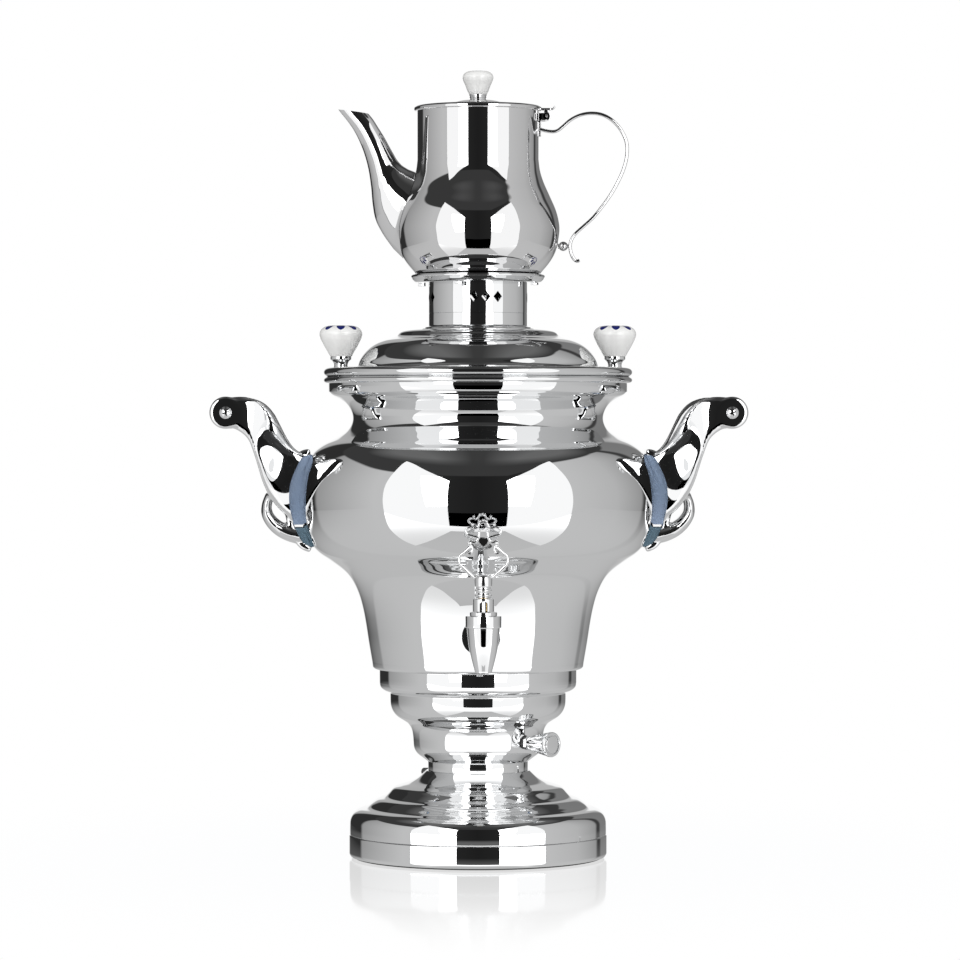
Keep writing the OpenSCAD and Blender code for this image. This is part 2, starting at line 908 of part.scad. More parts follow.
module ferrule(r, z0, z1) {
    h = z1 - z0;
    color(CHROME)
        difference() {
            translate([0, 0, z0])
                turned(concat(smooth([[0.68 * r, 0], [0.64 * r, 0.22 * h], [0.74 * r, 0.5 * h],
                    [0.93 * r, 0.68 * h]], 3), [[r, 0.72 * h], [r, h]]));
            translate([0, 0, z0 - 1])
                cylinder(r = 2, h = h + 2);
        }
}

module lid_ferrules() {
    for (s = [-1, 1])
        translate([s * knob_x, 0, 0])
            ferrule(6.8, flange_z, knob_z0);
}

module lid_screws() {
    color(STEEL)
        for (s = [-1, 1])
            translate([s * knob_x, 0, 0]) {
                cylinder_at(2, flange_z - sheet - 1, knob_z0 + 9);
                cylinder_at(3.6, flange_z - sheet - 2.4, flange_z - sheet);
            }
}

// ---- pot stand ----

saucer_z = 373;
floor_z = saucer_z + 1.2;

// Steam tube of the stand, with an inner sleeve that enters the lid's tube
module stand_tube() {
    vent_w = 6;
    vent_h = 7.4;
    color(CHROME)
        difference() {
            rotate_extrude()
                polygon([[tube_r - 2.5, stand_z - 8], [tube_r - 1.5, stand_z - 8],
                    [tube_r - 1.5, stand_z], [tube_r, stand_z], [tube_r, saucer_z],
                    [tube_r - 1.2, saucer_z], [tube_r - 1.2, stand_z + 1.2],
                    [tube_r - 2.5, stand_z + 1.2]]);
            for (g = [0 : vent_groups - 1], k = [-1, 0, 1])
                rotate([0, 0, g * 360 / vent_groups + 8 + 14 * k])
                    translate([0, -tube_r + 4, 363.5])
                        rotate([90, 0, 0])
                            linear_extrude(8)
                                polygon([[-vent_w / 2, 0], [0, -vent_h / 2], [vent_w / 2, 0],
                                    [0, vent_h / 2]]);
        }
}

module stand_saucer() {
    rim = smooth([[38.5, saucer_z], [41, saucer_z + 0.5], [42.6, saucer_z + 2]], 3);
    clips = 4;
    color(CHROME) {
        rotate_extrude()
            polygon(concat([[22, saucer_z]], rim,
                arc([42.4, saucer_z + 4.2], 1.2, -50, 190, 8),
                [[41, saucer_z + 3.2], [39.8, saucer_z + 1.9], [38, floor_z], [22, floor_z]]));
        for (i = [0 : clips - 1])
            rotate([0, 0, i * 360 / clips - 20])
                translate([36.6, -2, saucer_z - 1.6])
                    cube([4, 4, 1.7]);
    }
}

// ---- teapot ----

pot_rim = 484.3;
pot_wall = concat([[34.5, floor_z + 2], [36, floor_z], [37.6, floor_z], [38.5, floor_z + 0.6]],
    smooth([[39, floor_z + 2.2], [41.4, 379.8], [44.2, 383], [47.9, 388], [50.6, 393.3],
        [pot_r - 0.8, 401], [pot_r, 408.6], [pot_r - 0.7, 414], [pot_r - 2.1, 419.4],
        [46.7, 429.7], [42.2, 440], [40.4, 446], [pot_neck_r, 453]], 3), [[pot_neck_r, pot_rim]]);
pot_table = [for (p = pot_wall) [p[1], p[0]]];
function pot_at(z) = lookup(z, pot_table);

module pot_body() {
    path = concat([[0, floor_z + 2]], pot_wall);
    color(CHROME)
        difference() {
            shell(path, pot_sheet);
            for (z = [402, 412, 422], y = [-7, 0, 7])
                translate([-60, y, z])
                    rotate([0, 90, 0])
                        cylinder(r = 1.8, h = 20);
        }
}

// Lower and upper edge of the spout, from the body to the mouth
spout_low = [[-48.5, 388.7], [-55, 395.2], [-61.9, 405], [-66.6, 414.5], [-68.4, 424],
    [-69.4, 435], [-71.6, 449], [-75.3, 461], [-80.7, 472.2], [-90.6, 485.4]];
spout_top = [[-41.1, 445.1], [-45.2, 446.8], [-49.3, 449.4], [-52.4, 452.8], [-54.9, 457],
    [-57.6, 461.8], [-61, 468], [-64.8, 474], [-68.1, 479.2], [-70.9, 482.7]];
spout_half = [15.5, 14.4, 12.6, 11, 9.8, 8.9, 7.9, 7.1, 6.4, 5.6];
spout_n = 20;

// Ring of the spout on the pot's wall, drawn in by t
function root_ring(t) =
    let (a = spout_low[0], b = spout_top[0], h = (b[1] - a[1]) / 2 - t, w = spout_half[0] - t)
    [for (k = [0 : spout_n - 1])
        let (z = (a[1] + b[1]) / 2 - h * cos(360 * k / spout_n), y = w * sin(360 * k / spout_n))
        [-sqrt(pow(pot_at(z) + 0.12, 2) - y * y), y, z]];

// Rings of the spout from its second station to its mouth, drawn in by t
function spout_rings(t) =
    let (low = smooth([for (i = [1 : 9]) spout_low[i]], 2),
        top = smooth([for (i = [1 : 9]) spout_top[i]], 2),
        half = smooth([for (i = [1 : 9]) [i, spout_half[i]]], 2))
    [for (i = [0 : len(low) - 1])
        let (c = (low[i] + top[i]) / 2, u = (low[i] - top[i]) / 2, d = u / norm(u) * (norm(u) - t))
        oval([c[0], 0, c[1]], [d[0], 0, d[1]], [0, half[i][1] - t, 0], spout_n)];

module pot_spout() {
    color(CHROME)
        loft_loop(concat([root_ring(0)], spout_rings(0),
            reversed(spout_rings(pot_sheet)), [root_ring(pot_sheet)]));
}

// Centre line of the handle's strap, from the collar down to its curled end
strap_path = smooth([[pot_neck_r + 0.2, 472.9], [46, 471.4], [50.8, 471.4], [54.6, 474.2],
    [59.7, 478.7], [65.5, 481.8], [73.3, 483.3], [81.1, 482.2], [88.2, 477.8], [93.5, 471.4],
    [96.6, 463.8], [96.7, 456], [94.8, 447.8], [91.3, 439.6], [86.4, 430.8], [80.8, 423],
    [74.6, 415.4], [68.1, 409.5], [62.8, 404.6], [60.2, 400.4], [59.7, 396], [60.6, 391.8],
    [62.6, 388], [64.6, 386.6], [65.8, 387.8]], 2);
strap_t = 1.8;
stud_x = 55.4;
stud_z = 397;

module pot_handle() {
    color(CHROME)
        difference() {
            union() {
                bar(xz(strap_path), 4.5, strap_t / 2, 8, 0.6);
                translate([36, -4, 468])
                    cube([5, 8, 10.2]);
            }
            cylinder_at(pot_neck_r, 460, 485);
        }
}

// Ball on a short post that holds the strap's lower end
module pot_handle_stud() {
    color(CHROME)
        difference() {
            translate([stud_x, 0, stud_z])
                union() {
                    sphere(r = 3.1);
                    rotate([0, -90, 0])
                        cylinder(r = 1.6, h = 6);
                    rotate([0, 90, 0])
                        cylinder(r = 1.2, h = 3.45);
                }
            turned([for (z = [392 : 402]) [pot_at(z), z]]);
        }
}

hinge_x = 44.3;
hinge_z = 481;
knuckle_r = 2.7;
pin_d = 2;

module knuckle(y0, y1) {
    translate([hinge_x, y1, hinge_z])
        rotate([90, 0, 0])
            cylinder(r = knuckle_r, h = y1 - y0);
}

module pot_hinge_bracket() {
    color(CHROME)
        difference() {
            union() {
                knuckle(-6.5, -2.6);
                knuckle(2.6, 6.5);
                translate([37, -6.5, hinge_z - knuckle_r])
                    cube([hinge_x - 37, 13, 2 * knuckle_r - 0.6]);
            }
            translate([41.4, -2.6, hinge_z - 4])
                cube([8, 5.2, 8]);
            cylinder_at(pot_neck_r, 470, 490);
            translate([hinge_x, 10, hinge_z])
                rotate([90, 0, 0])
                    cylinder(d = pin_d, h = 20);
        }
}

module pot_hinge_pin() {
    color(STEEL)
        translate([hinge_x, 7, hinge_z])
            rotate([90, 0, 0])
                cylinder(d = pin_d, h = 14);
}

lid_edge = 41.6;

module pot_lid() {
    top = smooth([[lid_edge - 1.3, 487.6], [35, 488], [26, 488.4], [20, 489.2], [12, 491.2],
        [5.6, 492]], 3);
    color(CHROME)
        difference() {
            union() {
                rotate_extrude()
                    polygon(concat([[36.4, pot_rim], [lid_edge - 0.7, pot_rim],
                        [lid_edge, pot_rim + 0.7], [lid_edge, 486.6]], top,
                        [[0, 492], [0, 491.2]], reversed(beside(top, pot_sheet)),
                        [[39.6, pot_rim + 1.6], [37.2, pot_rim + 1.6], [36.4, pot_rim + 1.6]]));
                ring(36.4, 37.2, pot_rim - 2.6, pot_rim + 1);
            }
            cylinder_at(1.6, 480, 495);
        }
}

// Thumb plate of the lid, with the middle knuckle of its hinge
module pot_lid_tab() {
    color(CHROME)
        difference() {
            union() {
                translate([38, -5, 485])
                    cube([10, 10, 1.4]);
                translate([42.9, -2.4, hinge_z])
                    cube([2.8, 4.8, 4.6]);
                knuckle(-2.4, 2.4);
                bar(xz(smooth([[46.6, 485.7], [48.6, 486], [49.9, 487.6]], 3)), 4.6, 0.6, 8, 0.6);
            }
            cylinder_at(lid_edge, 480, 490);
            translate([hinge_x, 10, hinge_z])
                rotate([90, 0, 0])
                    cylinder(r = pin_d / 2 + 0.05, h = 20);
        }
}

pot_knob_z = 495.4;

module pot_lid_knob() {
    ceramic_knob(10, pot_knob_z, 15.2);
}

module pot_lid_ferrule() {
    ferrule(5.3, 492, pot_knob_z);
}

module pot_lid_screw() {
    color(STEEL) {
        cylinder_at(1.6, 490, 492);
        cylinder_at(2, 492, pot_knob_z + 7);
        cylinder_at(3.4, 489.6, 491.2);
    }
}

// ---- both sides of what is mirrored ----

module handle_gasket_right() { handle_gasket(); }
module handle_gasket_left() { mirror([1, 0, 0]) handle_gasket(); }
module handle_bracket_right() { handle_bracket(); }
module handle_bracket_left() { mirror([1, 0, 0]) handle_bracket(); }
module handle_grip_right() { handle_grip(); }
module handle_grip_left() { mirror([1, 0, 0]) handle_grip(); }

foot_ring();
base_pan();
base_band();
base_cover();
cord_gland();
neck_collar();
lower_housing();
tie_rod();
tie_nuts();
heater_plate();
heating_element();
thermal_cutout();
terminal_block();
thermostat_body();
thermostat_grommet();
thermostat_nut();
thermostat_spindle();
thermostat_knob();
thermostat_cap();
tank_cone();
tank_bowl();
tank_shoulder();
tank_neck();
tank_bottom();
handle_gasket_left();
handle_gasket_right();
handle_bracket_left();
handle_bracket_right();
handle_grip_left();
handle_grip_right();
grip_screws();
handle_bolts();
handle_washers();
tap_body();
tap_seals();
tap_locknut();
tap_bonnet();
tap_stop_pin();
tap_plug();
tap_key();
lid_shell();
lid_skirt();
lid_tube();
lid_knob_left();
lid_knob_right();
lid_ferrules();
lid_screws();
stand_tube();
stand_saucer();
pot_body();
pot_spout();
pot_handle();
pot_handle_stud();
pot_hinge_bracket();
pot_hinge_pin();
pot_lid();
pot_lid_tab();
pot_lid_knob();
pot_lid_ferrule();
pot_lid_screw();
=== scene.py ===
"""Looks of an electric tea samovar: mirror chrome, ceramic knobs and a studio around it.

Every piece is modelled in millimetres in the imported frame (+Z up, the tap towards -Y)
and is placed in metres, so it lies exactly where the construction has it.
"""

from __future__ import annotations

import json
import logging
import math
from dataclasses import dataclass, field
from enum import Enum
from functools import cache
from typing import Callable, Iterable, Sequence

import bmesh
import bpy
from bmesh.types import BMesh
from mathutils import Matrix, Vector

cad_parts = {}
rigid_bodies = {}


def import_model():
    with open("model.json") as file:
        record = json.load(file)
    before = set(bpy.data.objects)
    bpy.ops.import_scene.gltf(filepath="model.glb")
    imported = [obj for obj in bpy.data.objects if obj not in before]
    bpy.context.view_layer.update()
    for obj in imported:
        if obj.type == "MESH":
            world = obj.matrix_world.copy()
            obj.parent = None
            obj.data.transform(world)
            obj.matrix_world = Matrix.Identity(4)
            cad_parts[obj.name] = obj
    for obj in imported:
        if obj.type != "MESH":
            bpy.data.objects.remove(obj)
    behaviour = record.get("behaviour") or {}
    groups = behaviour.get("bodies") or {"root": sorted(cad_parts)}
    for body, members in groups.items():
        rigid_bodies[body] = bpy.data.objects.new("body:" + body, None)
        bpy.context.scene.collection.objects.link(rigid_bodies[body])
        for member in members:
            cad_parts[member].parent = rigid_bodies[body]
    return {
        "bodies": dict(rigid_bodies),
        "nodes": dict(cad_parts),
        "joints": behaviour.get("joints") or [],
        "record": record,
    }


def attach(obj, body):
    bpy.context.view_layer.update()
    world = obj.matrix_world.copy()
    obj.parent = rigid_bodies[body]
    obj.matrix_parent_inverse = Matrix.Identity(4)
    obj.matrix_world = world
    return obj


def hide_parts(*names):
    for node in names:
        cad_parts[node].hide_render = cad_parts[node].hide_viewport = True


log = logging.getLogger("samovar")

MM = 0.001
FULL_TURN = math.tau
SPIN_STEPS = 192
SHORTEST_SPAN = 1e-6
CORNER_TURN = 25.0
CORNER_SHARE = 0.45
PETALS = 8
PETAL_FULLNESS = 1.75
WHITE = (1.0, 1.0, 1.0, 1.0)

Pair = tuple[float, float]
Path = Sequence[Pair]
Triple = tuple[float, float, float]
Colour = Triple


class Slot(str, Enum):
    """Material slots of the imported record."""

    SHEET = "chromed_sheet"
    CASTING = "chromed_casting"
    POT = "polished_pot_steel"
    STEEL = "plain_steel"
    ALUMINIUM = "cast_aluminium"
    BRASS = "brass_fittings"
    GLAZE = "glazed_ceramic"
    BISQUE = "plain_ceramic"
    GASKET = "blue_gasket"
    RUBBER = "black_rubber"
    PAINT = "black_paint"
    PLASTIC = "black_plastic"


class Body(str, Enum):
    """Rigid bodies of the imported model."""

    SAMOVAR = "samovar"
    TAP = "tap_turner"
    DIAL = "dial"
    LID = "tank_lid"
    STAND = "pot_stand"
    POT = "teapot"
    POT_LID = "teapot_lid"


class Side(Enum):
    """The two sides that carry a handle and a lid knob."""

    LEFT = -1
    RIGHT = 1

    @property
    def word(self) -> str:
        """The side in the name of a piece."""
        return self.name.lower()


class Join(str, Enum):
    """Ways to combine two solids."""

    FUSE = "UNION"
    CUT = "DIFFERENCE"


# ---- outlines ----


def _chord(points: Path, i: int) -> float:
    """Length of span i."""
    return math.dist(points[i], points[i + 1])


def _slope(points: Path, i: int) -> Vector:
    """Direction of the curve at point i, weighted by the spans beside it."""
    here = Vector(points[i])
    if i == 0:
        return (Vector(points[1]) - here) / _chord(points, 0)
    back = Vector(points[i - 1])
    if i == len(points) - 1:
        return (here - back) / _chord(points, i - 1)
    ahead = Vector(points[i + 1])
    a, b = _chord(points, i - 1), _chord(points, i)
    return ((here - back) * b / a + (ahead - here) * a / b) / (a + b)


def smooth(points: Path, steps: int = 8) -> list[Pair]:
    """Smooth curve through points.

    Args:
        points: Points of any dimension that the curve passes.
        steps: Steps to a span.

    Returns:
        The sampled curve, with both ends.
    """
    curve = []
    for i in range(len(points) - 1):
        h = _chord(points, i)
        p, d = Vector(points[i]), Vector(points[i + 1]) - Vector(points[i])
        a, b = _slope(points, i) * h, _slope(points, i + 1) * h
        for k in range(steps):
            t = k / steps
            bend = (3 * d - 2 * a - b) * t * t + (a + b - 2 * d) * t * t * t
            curve.append(tuple(p + a * t + bend))
    return curve + [tuple(points[-1])]


def arc(centre: Pair, radius: float, start: float, end: float, steps: int = 12) -> list[Pair]:
    """Arc round centre from one angle to another, in degrees."""
    turns = [math.radians(start + (end - start) * i / steps) for i in range(steps + 1)]
    return [(centre[0] + radius * math.cos(t), centre[1] + radius * math.sin(t)) for t in turns]


def evened(points: Path, spacing: float) -> list[Pair]:
    """The outline with points at equal spacing along it."""
    lengths = [0.0]
    for i in range(len(points) - 1):
        lengths.append(lengths[-1] + _chord(points, i))
    count = max(2, round(lengths[-1] / spacing))
    result, i = [], 0
    for k in range(count + 1):
        want = lengths[-1] * k / count
        while i < len(points) - 2 and lengths[i + 1] < want:
            i += 1
        span = lengths[i + 1] - lengths[i]
        t = (want - lengths[i]) / span if span else 0.0
        result.append(tuple(Vector(points[i]).lerp(Vector(points[i + 1]), t)))
    return result


def faired(points: Path, spacing: float = 0.8, rounds: int = 12) -> list[Pair]:
    """Smooths out the waves of a curve, with its ends held.

    Args:
        points: The curve.
        spacing: Distance between the points of the result.
        rounds: Times that each point is drawn to the middle of its neighbours.

    Returns:
        The faired curve.
    """
    line = [Vector(p) for p in evened(points, spacing)]
    for _ in range(rounds):
        inner = [(line[i - 1] + line[i] * 2 + line[i + 1]) / 4 for i in range(1, len(line) - 1)]
        line = [line[0], *inner, line[-1]]
    return [tuple(p) for p in line]


def beside(points: Path, gap: float) -> list[Pair]:
    """The outline moved to its left by gap, mitred at its corners."""
    moved = []
    last = len(points) - 1
    for i, point in enumerate(points):
        mitre = Vector((0, 0))
        for k in (max(i, 1), min(i, last - 1) + 1):
            span = Vector(points[k]) - Vector(points[k - 1])
            mitre += Vector((-span.y, span.x)).normalized()
        moved.append(tuple(Vector(point) + mitre * 2 * gap / mitre.length_squared))
    return moved


def eased(points: Path, radius: float, closed: bool = True, steps: int = 3) -> list[Pair]:
    """Rounds the corners of an outline that turn by more than CORNER_TURN.

    Args:
        points: The outline.
        radius: Length taken off each side of a corner, at most.
        closed: Whether the last point joins the first.
        steps: Steps of each rounding.

    Returns:
        The outline with rounded corners.
    """
    count = len(points)
    result = []
    for i, point in enumerate(points):
        here = Vector(point)
        before = Vector(points[i - 1]) - here
        after = Vector(points[(i + 1) % count]) - here
        held = not closed and i in (0, count - 1)
        held = held or min(before.length, after.length) < SHORTEST_SPAN
        if held or math.pi - before.angle(after) < math.radians(CORNER_TURN):
            result.append(tuple(point))
            continue
        a = here + before.normalized() * min(radius, before.length * CORNER_SHARE)
        b = here + after.normalized() * min(radius, after.length * CORNER_SHARE)
        for k in range(steps + 1):
            t = k / steps
            result.append(tuple(a * (1 - t) ** 2 + here * 2 * t * (1 - t) + b * t * t))
    return result


def sheet(outline: Path, gap: float, edge: float = 0.3) -> list[Pair]:
    """Closed section of sheet metal whose outer face is outline."""
    return eased(list(outline) + beside(outline, gap)[::-1], edge)


def oval(centre: Vector, u: Vector, v: Vector, count: int, power: float = 1.0) -> list[Vector]:
    """Ring of points round centre with half-axes u and v; power under 1 squares it."""
    ring = []
    for k in range(count):
        turn = FULL_TURN * k / count
        x, y = (math.copysign(abs(s) ** power, s) for s in (math.cos(turn), math.sin(turn)))
        ring.append(centre + u * x + v * y)
    return ring


def along(path: Sequence[Vector], i: int) -> Vector:
    """Direction of a path of 3-D points at its point i."""
    return (path[min(i + 1, len(path) - 1)] - path[max(i - 1, 0)]).normalized()


def bar_rings(
    path: Path, across: Sequence[float], within: Sequence[float], count: int, power: float = 1.0
) -> list[list[Vector]]:
    """Rings of a bar along a path in the XZ plane.

    Args:
        path: Centre line as (x, z) pairs.
        across: Half-width in Y at each point.
        within: Half-thickness in the plane at each point.
        count: Points to a ring.
        power: Squareness of the section, under 1 for a flat bar.

    Returns:
        One ring for each point of the path.
    """
    line = [Vector((x, 0, z)) for x, z in path]
    rings = []
    for i, point in enumerate(line):
        d = along(line, i)
        u = Vector((0, across[i], 0))
        v = Vector((-d.z, 0, d.x)) * within[i]
        rings.append(oval(point, u, v, count, power))
    return rings


def strap_rings(path: Path, across: float, within: float, count: int) -> list[list[Vector]]:
    """Rings of a flat bar that keeps its section along a path in the XZ plane."""
    return bar_rings(path, [across] * len(path), [within] * len(path), count, 0.5)


# ---- solids ----


def _move(x: float, y: float, z: float) -> Matrix:
    """Translation in millimetres."""
    return Matrix.Translation((x, y, z))


def _turn(degrees: float, axis: str) -> Matrix:
    """Rotation about a main axis."""
    return Matrix.Rotation(math.radians(degrees), 4, axis)


def _front(x: float, y: float, z: float) -> Matrix:
    """Frame at a point with its Y upwards and its Z towards -Y."""
    return _move(x, y, z) @ _turn(90, "X")


def _linked(name: str, data: bpy.types.ID) -> bpy.types.Object:
    """New object of the scene that shows the data."""
    made = bpy.data.objects.new(name, data)
    bpy.context.scene.collection.objects.link(made)
    return made


class Solid:
    """A mesh under construction, in millimetres."""

    def __init__(self) -> None:
        """Starts empty."""
        self.bm: BMesh = bmesh.new()

    def _absorb(self, mesh: bpy.types.Mesh) -> None:
        """Adds a mesh, which isn't needed after that."""
        self.bm.from_mesh(mesh)
        bpy.data.meshes.remove(mesh)

    def _take(self, part: BMesh, place: Matrix) -> None:
        """Adds a finished part, turned and moved by place, with its faces outwards."""
        bmesh.ops.remove_doubles(part, verts=part.verts, dist=1e-4)
        bmesh.ops.transform(part, matrix=place, verts=part.verts)
        bmesh.ops.recalc_face_normals(part, faces=part.faces)
        scratch = bpy.data.meshes.new("scratch")
        part.to_mesh(scratch)
        part.free()
        self._absorb(scratch)

    def turned(
        self, outline: Path, place: Matrix = Matrix(), closed: bool = True, steps: int = SPIN_STEPS
    ) -> Solid:
        """Turns an outline of (radius, height) pairs round the Z axis.

        Args:
            outline: The section; with closed False it starts and ends on the axis.
            place: Where the solid goes.
            closed: Whether the last point joins the first.
            steps: Steps of the full turn.

        Returns:
            This solid.
        """
        part = bmesh.new()
        verts = [part.verts.new((r, 0, z)) for r, z in outline]
        ends = verts[1:] + verts[:1] if closed else verts[1:]
        edges = [part.edges.new(pair) for pair in zip(verts, ends)]
        bmesh.ops.spin(
            part, geom=verts + edges, cent=(0, 0, 0), axis=(0, 0, 1), dvec=(0, 0, 0),
            angle=FULL_TURN, steps=steps, use_merge=True, use_duplicate=False,
        )
        self._take(part, place)
        return self

    def lofted(
        self, rings: Sequence[Sequence[Vector]], place: Matrix = Matrix(), joined: bool = False
    ) -> Solid:
        """Bridges a row of rings with equal counts.

        Args:
            rings: The rings, in order.
            place: Where the solid goes.
            joined: Whether the last ring joins the first; else both ends are closed.

        Returns:
            This solid.
        """
        part = bmesh.new()
        loops = []
        for ring in rings:
            verts = [part.verts.new(p) for p in ring]
            loops.append([part.edges.new(pair) for pair in zip(verts, verts[1:] + verts[:1])])
        pairs = list(zip(loops, loops[1:]))
        if joined:
            pairs.append((loops[-1], loops[0]))
        for first, second in pairs:
            bmesh.ops.bridge_loops(part, edges=first + second)
        if not joined:
            for end in (loops[0], loops[-1]):
                bmesh.ops.edgeloop_fill(part, edges=end)
        self._take(part, place)
        return self

    def prism(self, outline: Path, low: float, high: float, place: Matrix = Matrix()) -> Solid:
        """Extrudes a closed outline in the XY plane from one height to another."""
        part = bmesh.new()
        verts = [part.verts.new((x, y, low)) for x, y in outline]
        face = part.faces.new(verts)
        made = bmesh.ops.extrude_face_region(part, geom=[face])["geom"]
        lifted = [v for v in made if isinstance(v, bmesh.types.BMVert)]
        bmesh.ops.translate(part, verts=lifted, vec=(0, 0, high - low))
        self._take(part, place)
        return self

    def rod(self, radius: float, low: float, high: float, place: Matrix = Matrix(),
            edge: float = 0.0, steps: int = 64) -> Solid:
        """Cylinder on the Z axis between two heights, with its edges eased."""
        section = [(0, low), (radius, low), (radius, high), (0, high)]
        if edge:
            section = eased(section, edge, closed=False)
        return self.turned(section, place, closed=False, steps=steps)

    def ball(self, centre: Sequence[float], radius: float) -> Solid:
        """Sphere."""
        part = bmesh.new()
        bmesh.ops.create_uvsphere(part, u_segments=48, v_segments=24, radius=radius)
        self._take(part, Matrix.Translation(centre))
        return self

    def block(self, low: Sequence[float], high: Sequence[float], edge: float = 0.0,
              place: Matrix = Matrix()) -> Solid:
        """Box between two corners, with its edges bevelled."""
        part = bmesh.new()
        bmesh.ops.create_cube(part, size=1)
        size = [b - a for a, b in zip(low, high)]
        middle = [(a + b) / 2 for a, b in zip(low, high)]
        bmesh.ops.scale(part, vec=size, verts=part.verts)
        bmesh.ops.translate(part, vec=middle, verts=part.verts)
        if edge:
            bmesh.ops.bevel(
                part, geom=part.edges, offset=edge, segments=3, profile=0.5,
                affect="EDGES", material=-1,
            )
        self._take(part, place)
        return self

    def mesh(self, name: str, scale: float = 1.0) -> bpy.types.Mesh:
        """The solid as a new mesh."""
        made = bpy.data.meshes.new(name)
        self.bm.to_mesh(made)
        if scale != 1.0:
            made.transform(Matrix.Scale(scale, 4))
        return made

    def add(self, other: Solid) -> None:
        """Adds another solid as it is."""
        self._absorb(other.mesh("scratch"))

    def move(self, place: Matrix) -> None:
        """Turns and moves the whole solid."""
        bmesh.ops.transform(self.bm, matrix=place, verts=self.bm.verts)

    def mirror(self, side: Side) -> None:
        """Mirrors a solid that is made for the right side, where the side is the left."""
        self.move(Matrix.Diagonal((side.value, 1, 1, 1)))
        bmesh.ops.recalc_face_normals(self.bm, faces=self.bm.faces)

    def _through(self, change: Callable[[bpy.types.Object], None]) -> None:
        """Replaces the mesh by what a modifier makes of it."""
        work = _linked("work", self.mesh("work"))
        change(work)
        bpy.context.view_layer.update()
        graph = bpy.context.evaluated_depsgraph_get()
        result = bpy.data.meshes.new_from_object(work.evaluated_get(graph))
        self.bm.clear()
        self._absorb(result)
        bpy.data.meshes.remove(work.data)

    def combine(self, other: Solid, how: Join) -> None:
        """Fuses this solid with another or cuts the other from it."""
        tool = _linked("tool", other.mesh("tool"))

        def change(work: bpy.types.Object) -> None:
            boolean = work.modifiers.new("join", "BOOLEAN")
            boolean.operation = how.value
            boolean.solver = "EXACT"
            boolean.object = tool

        self._through(change)
        bpy.data.meshes.remove(tool.data)

    def cast(self, voxel: float, rounds: int) -> None:
        """Melts overlapping parts into one casting with soft fillets.

        Args:
            voxel: Size of the remesh's cells.
            rounds: Rounds of smoothing after it.
        """

        def change(work: bpy.types.Object) -> None:
            remesh = work.modifiers.new("cast", "REMESH")
            remesh.mode = "VOXEL"
            remesh.voxel_size = voxel

        self._through(change)
        for _ in range(rounds):
            bmesh.ops.smooth_vert(
                self.bm, verts=self.bm.verts, factor=0.5,
                use_axis_x=True, use_axis_y=True, use_axis_z=True,
            )


# ---- finishes ----


class Nodes:
    """Short-hand for building one node tree."""

    def __init__(self, tree: bpy.types.NodeTree) -> None:
        """Keeps the tree."""
        self.tree = tree

    def add(self, kind: str, **values: object) -> bpy.types.Node:
        """Adds a node; values are its properties, or its inputs by name with _ for spaces."""
        node = self.tree.nodes.new(kind)
        for key, value in values.items():
            if hasattr(node, key):
                setattr(node, key, value)
            else:
                self.feed(node.inputs[key.replace("_", " ")], value)
        return node

    def feed(self, socket: bpy.types.NodeSocket, value: object) -> None:
        """Links another socket into socket, or sets its value."""
        if isinstance(value, bpy.types.NodeSocket):
            self.tree.links.new(value, socket)
        else:
            socket.default_value = value

    def math(self, operation: str, *values: object) -> bpy.types.NodeSocket:
        """Output of a Math node over one to three values."""
        node = self.add("ShaderNodeMath", operation=operation)
        for socket, value in zip(node.inputs, values):
            self.feed(socket, value)
        return node.outputs[0]

    def length(self, x: object, y: object) -> bpy.types.NodeSocket:
        """Length of the vector (x, y)."""
        return self.math("SQRT", self.math("MULTIPLY_ADD", x, x, self.math("MULTIPLY", y, y)))

    def place(self) -> bpy.types.NodeSocket:
        """Place in the object's own coordinates."""
        return self.add("ShaderNodeTexCoord").outputs["Object"]

    def parts(self, vector: bpy.types.NodeSocket) -> bpy.types.NodeOutputs:
        """X, Y and Z of a vector."""
        return self.add("ShaderNodeSeparateXYZ", Vector=vector).outputs

    def spread(self, value: object, low: float, high: float, to_low: object = 0.0,
               to_high: object = 1.0, shape: str = "LINEAR") -> bpy.types.NodeSocket:
        """Maps the values from low to high onto another range, cut off at its ends."""
        node = self.add("ShaderNodeMapRange", interpolation_type=shape, Value=value,
                        From_Min=low, From_Max=high, To_Min=to_low, To_Max=to_high)
        return node.outputs["Result"]

    def ramp(self, factor: bpy.types.NodeSocket,
             stops: Iterable[tuple[float, object]]) -> bpy.types.NodeSocket:
        """Colour of a ramp; a stop holds a grey value or a colour."""
        node = self.tree.nodes.new("ShaderNodeValToRGB")
        elements = node.color_ramp.elements
        for i, (place, value) in enumerate(stops):
            stop = elements[i] if i < len(elements) else elements.new(place)
            stop.position = place
            shade = (value,) * 3 if isinstance(value, float) else value
            stop.color = (*shade, 1.0)
        self.feed(node.inputs[0], factor)
        return node.outputs[0]

    def blend(self, factor: object, low: object, high: object) -> bpy.types.NodeSocket:
        """Colour between two colours; a grey value stands for its colour."""
        node = self.add("ShaderNodeMix", data_type="RGBA", Factor=factor)
        for socket, value in ((node.inputs[6], low), (node.inputs[7], high)):
            self.feed(socket, (value, value, value, 1.0) if isinstance(value, float) else value)
        return node.outputs[2]

    def mixed(self, factor: object, first: bpy.types.Node,
              second: bpy.types.Node) -> bpy.types.Node:
        """Shader between two shaders."""
        node = self.add("ShaderNodeMixShader", Fac=factor)
        self.feed(node.inputs[1], first.outputs[0])
        self.feed(node.inputs[2], second.outputs[0])
        return node

    def surface(self, shader: bpy.types.Node, kind: str = "ShaderNodeOutputMaterial") -> None:
        """Makes a shader the surface of what the tree belongs to."""
        self.feed(self.add(kind).inputs["Surface"], shader.outputs[0])


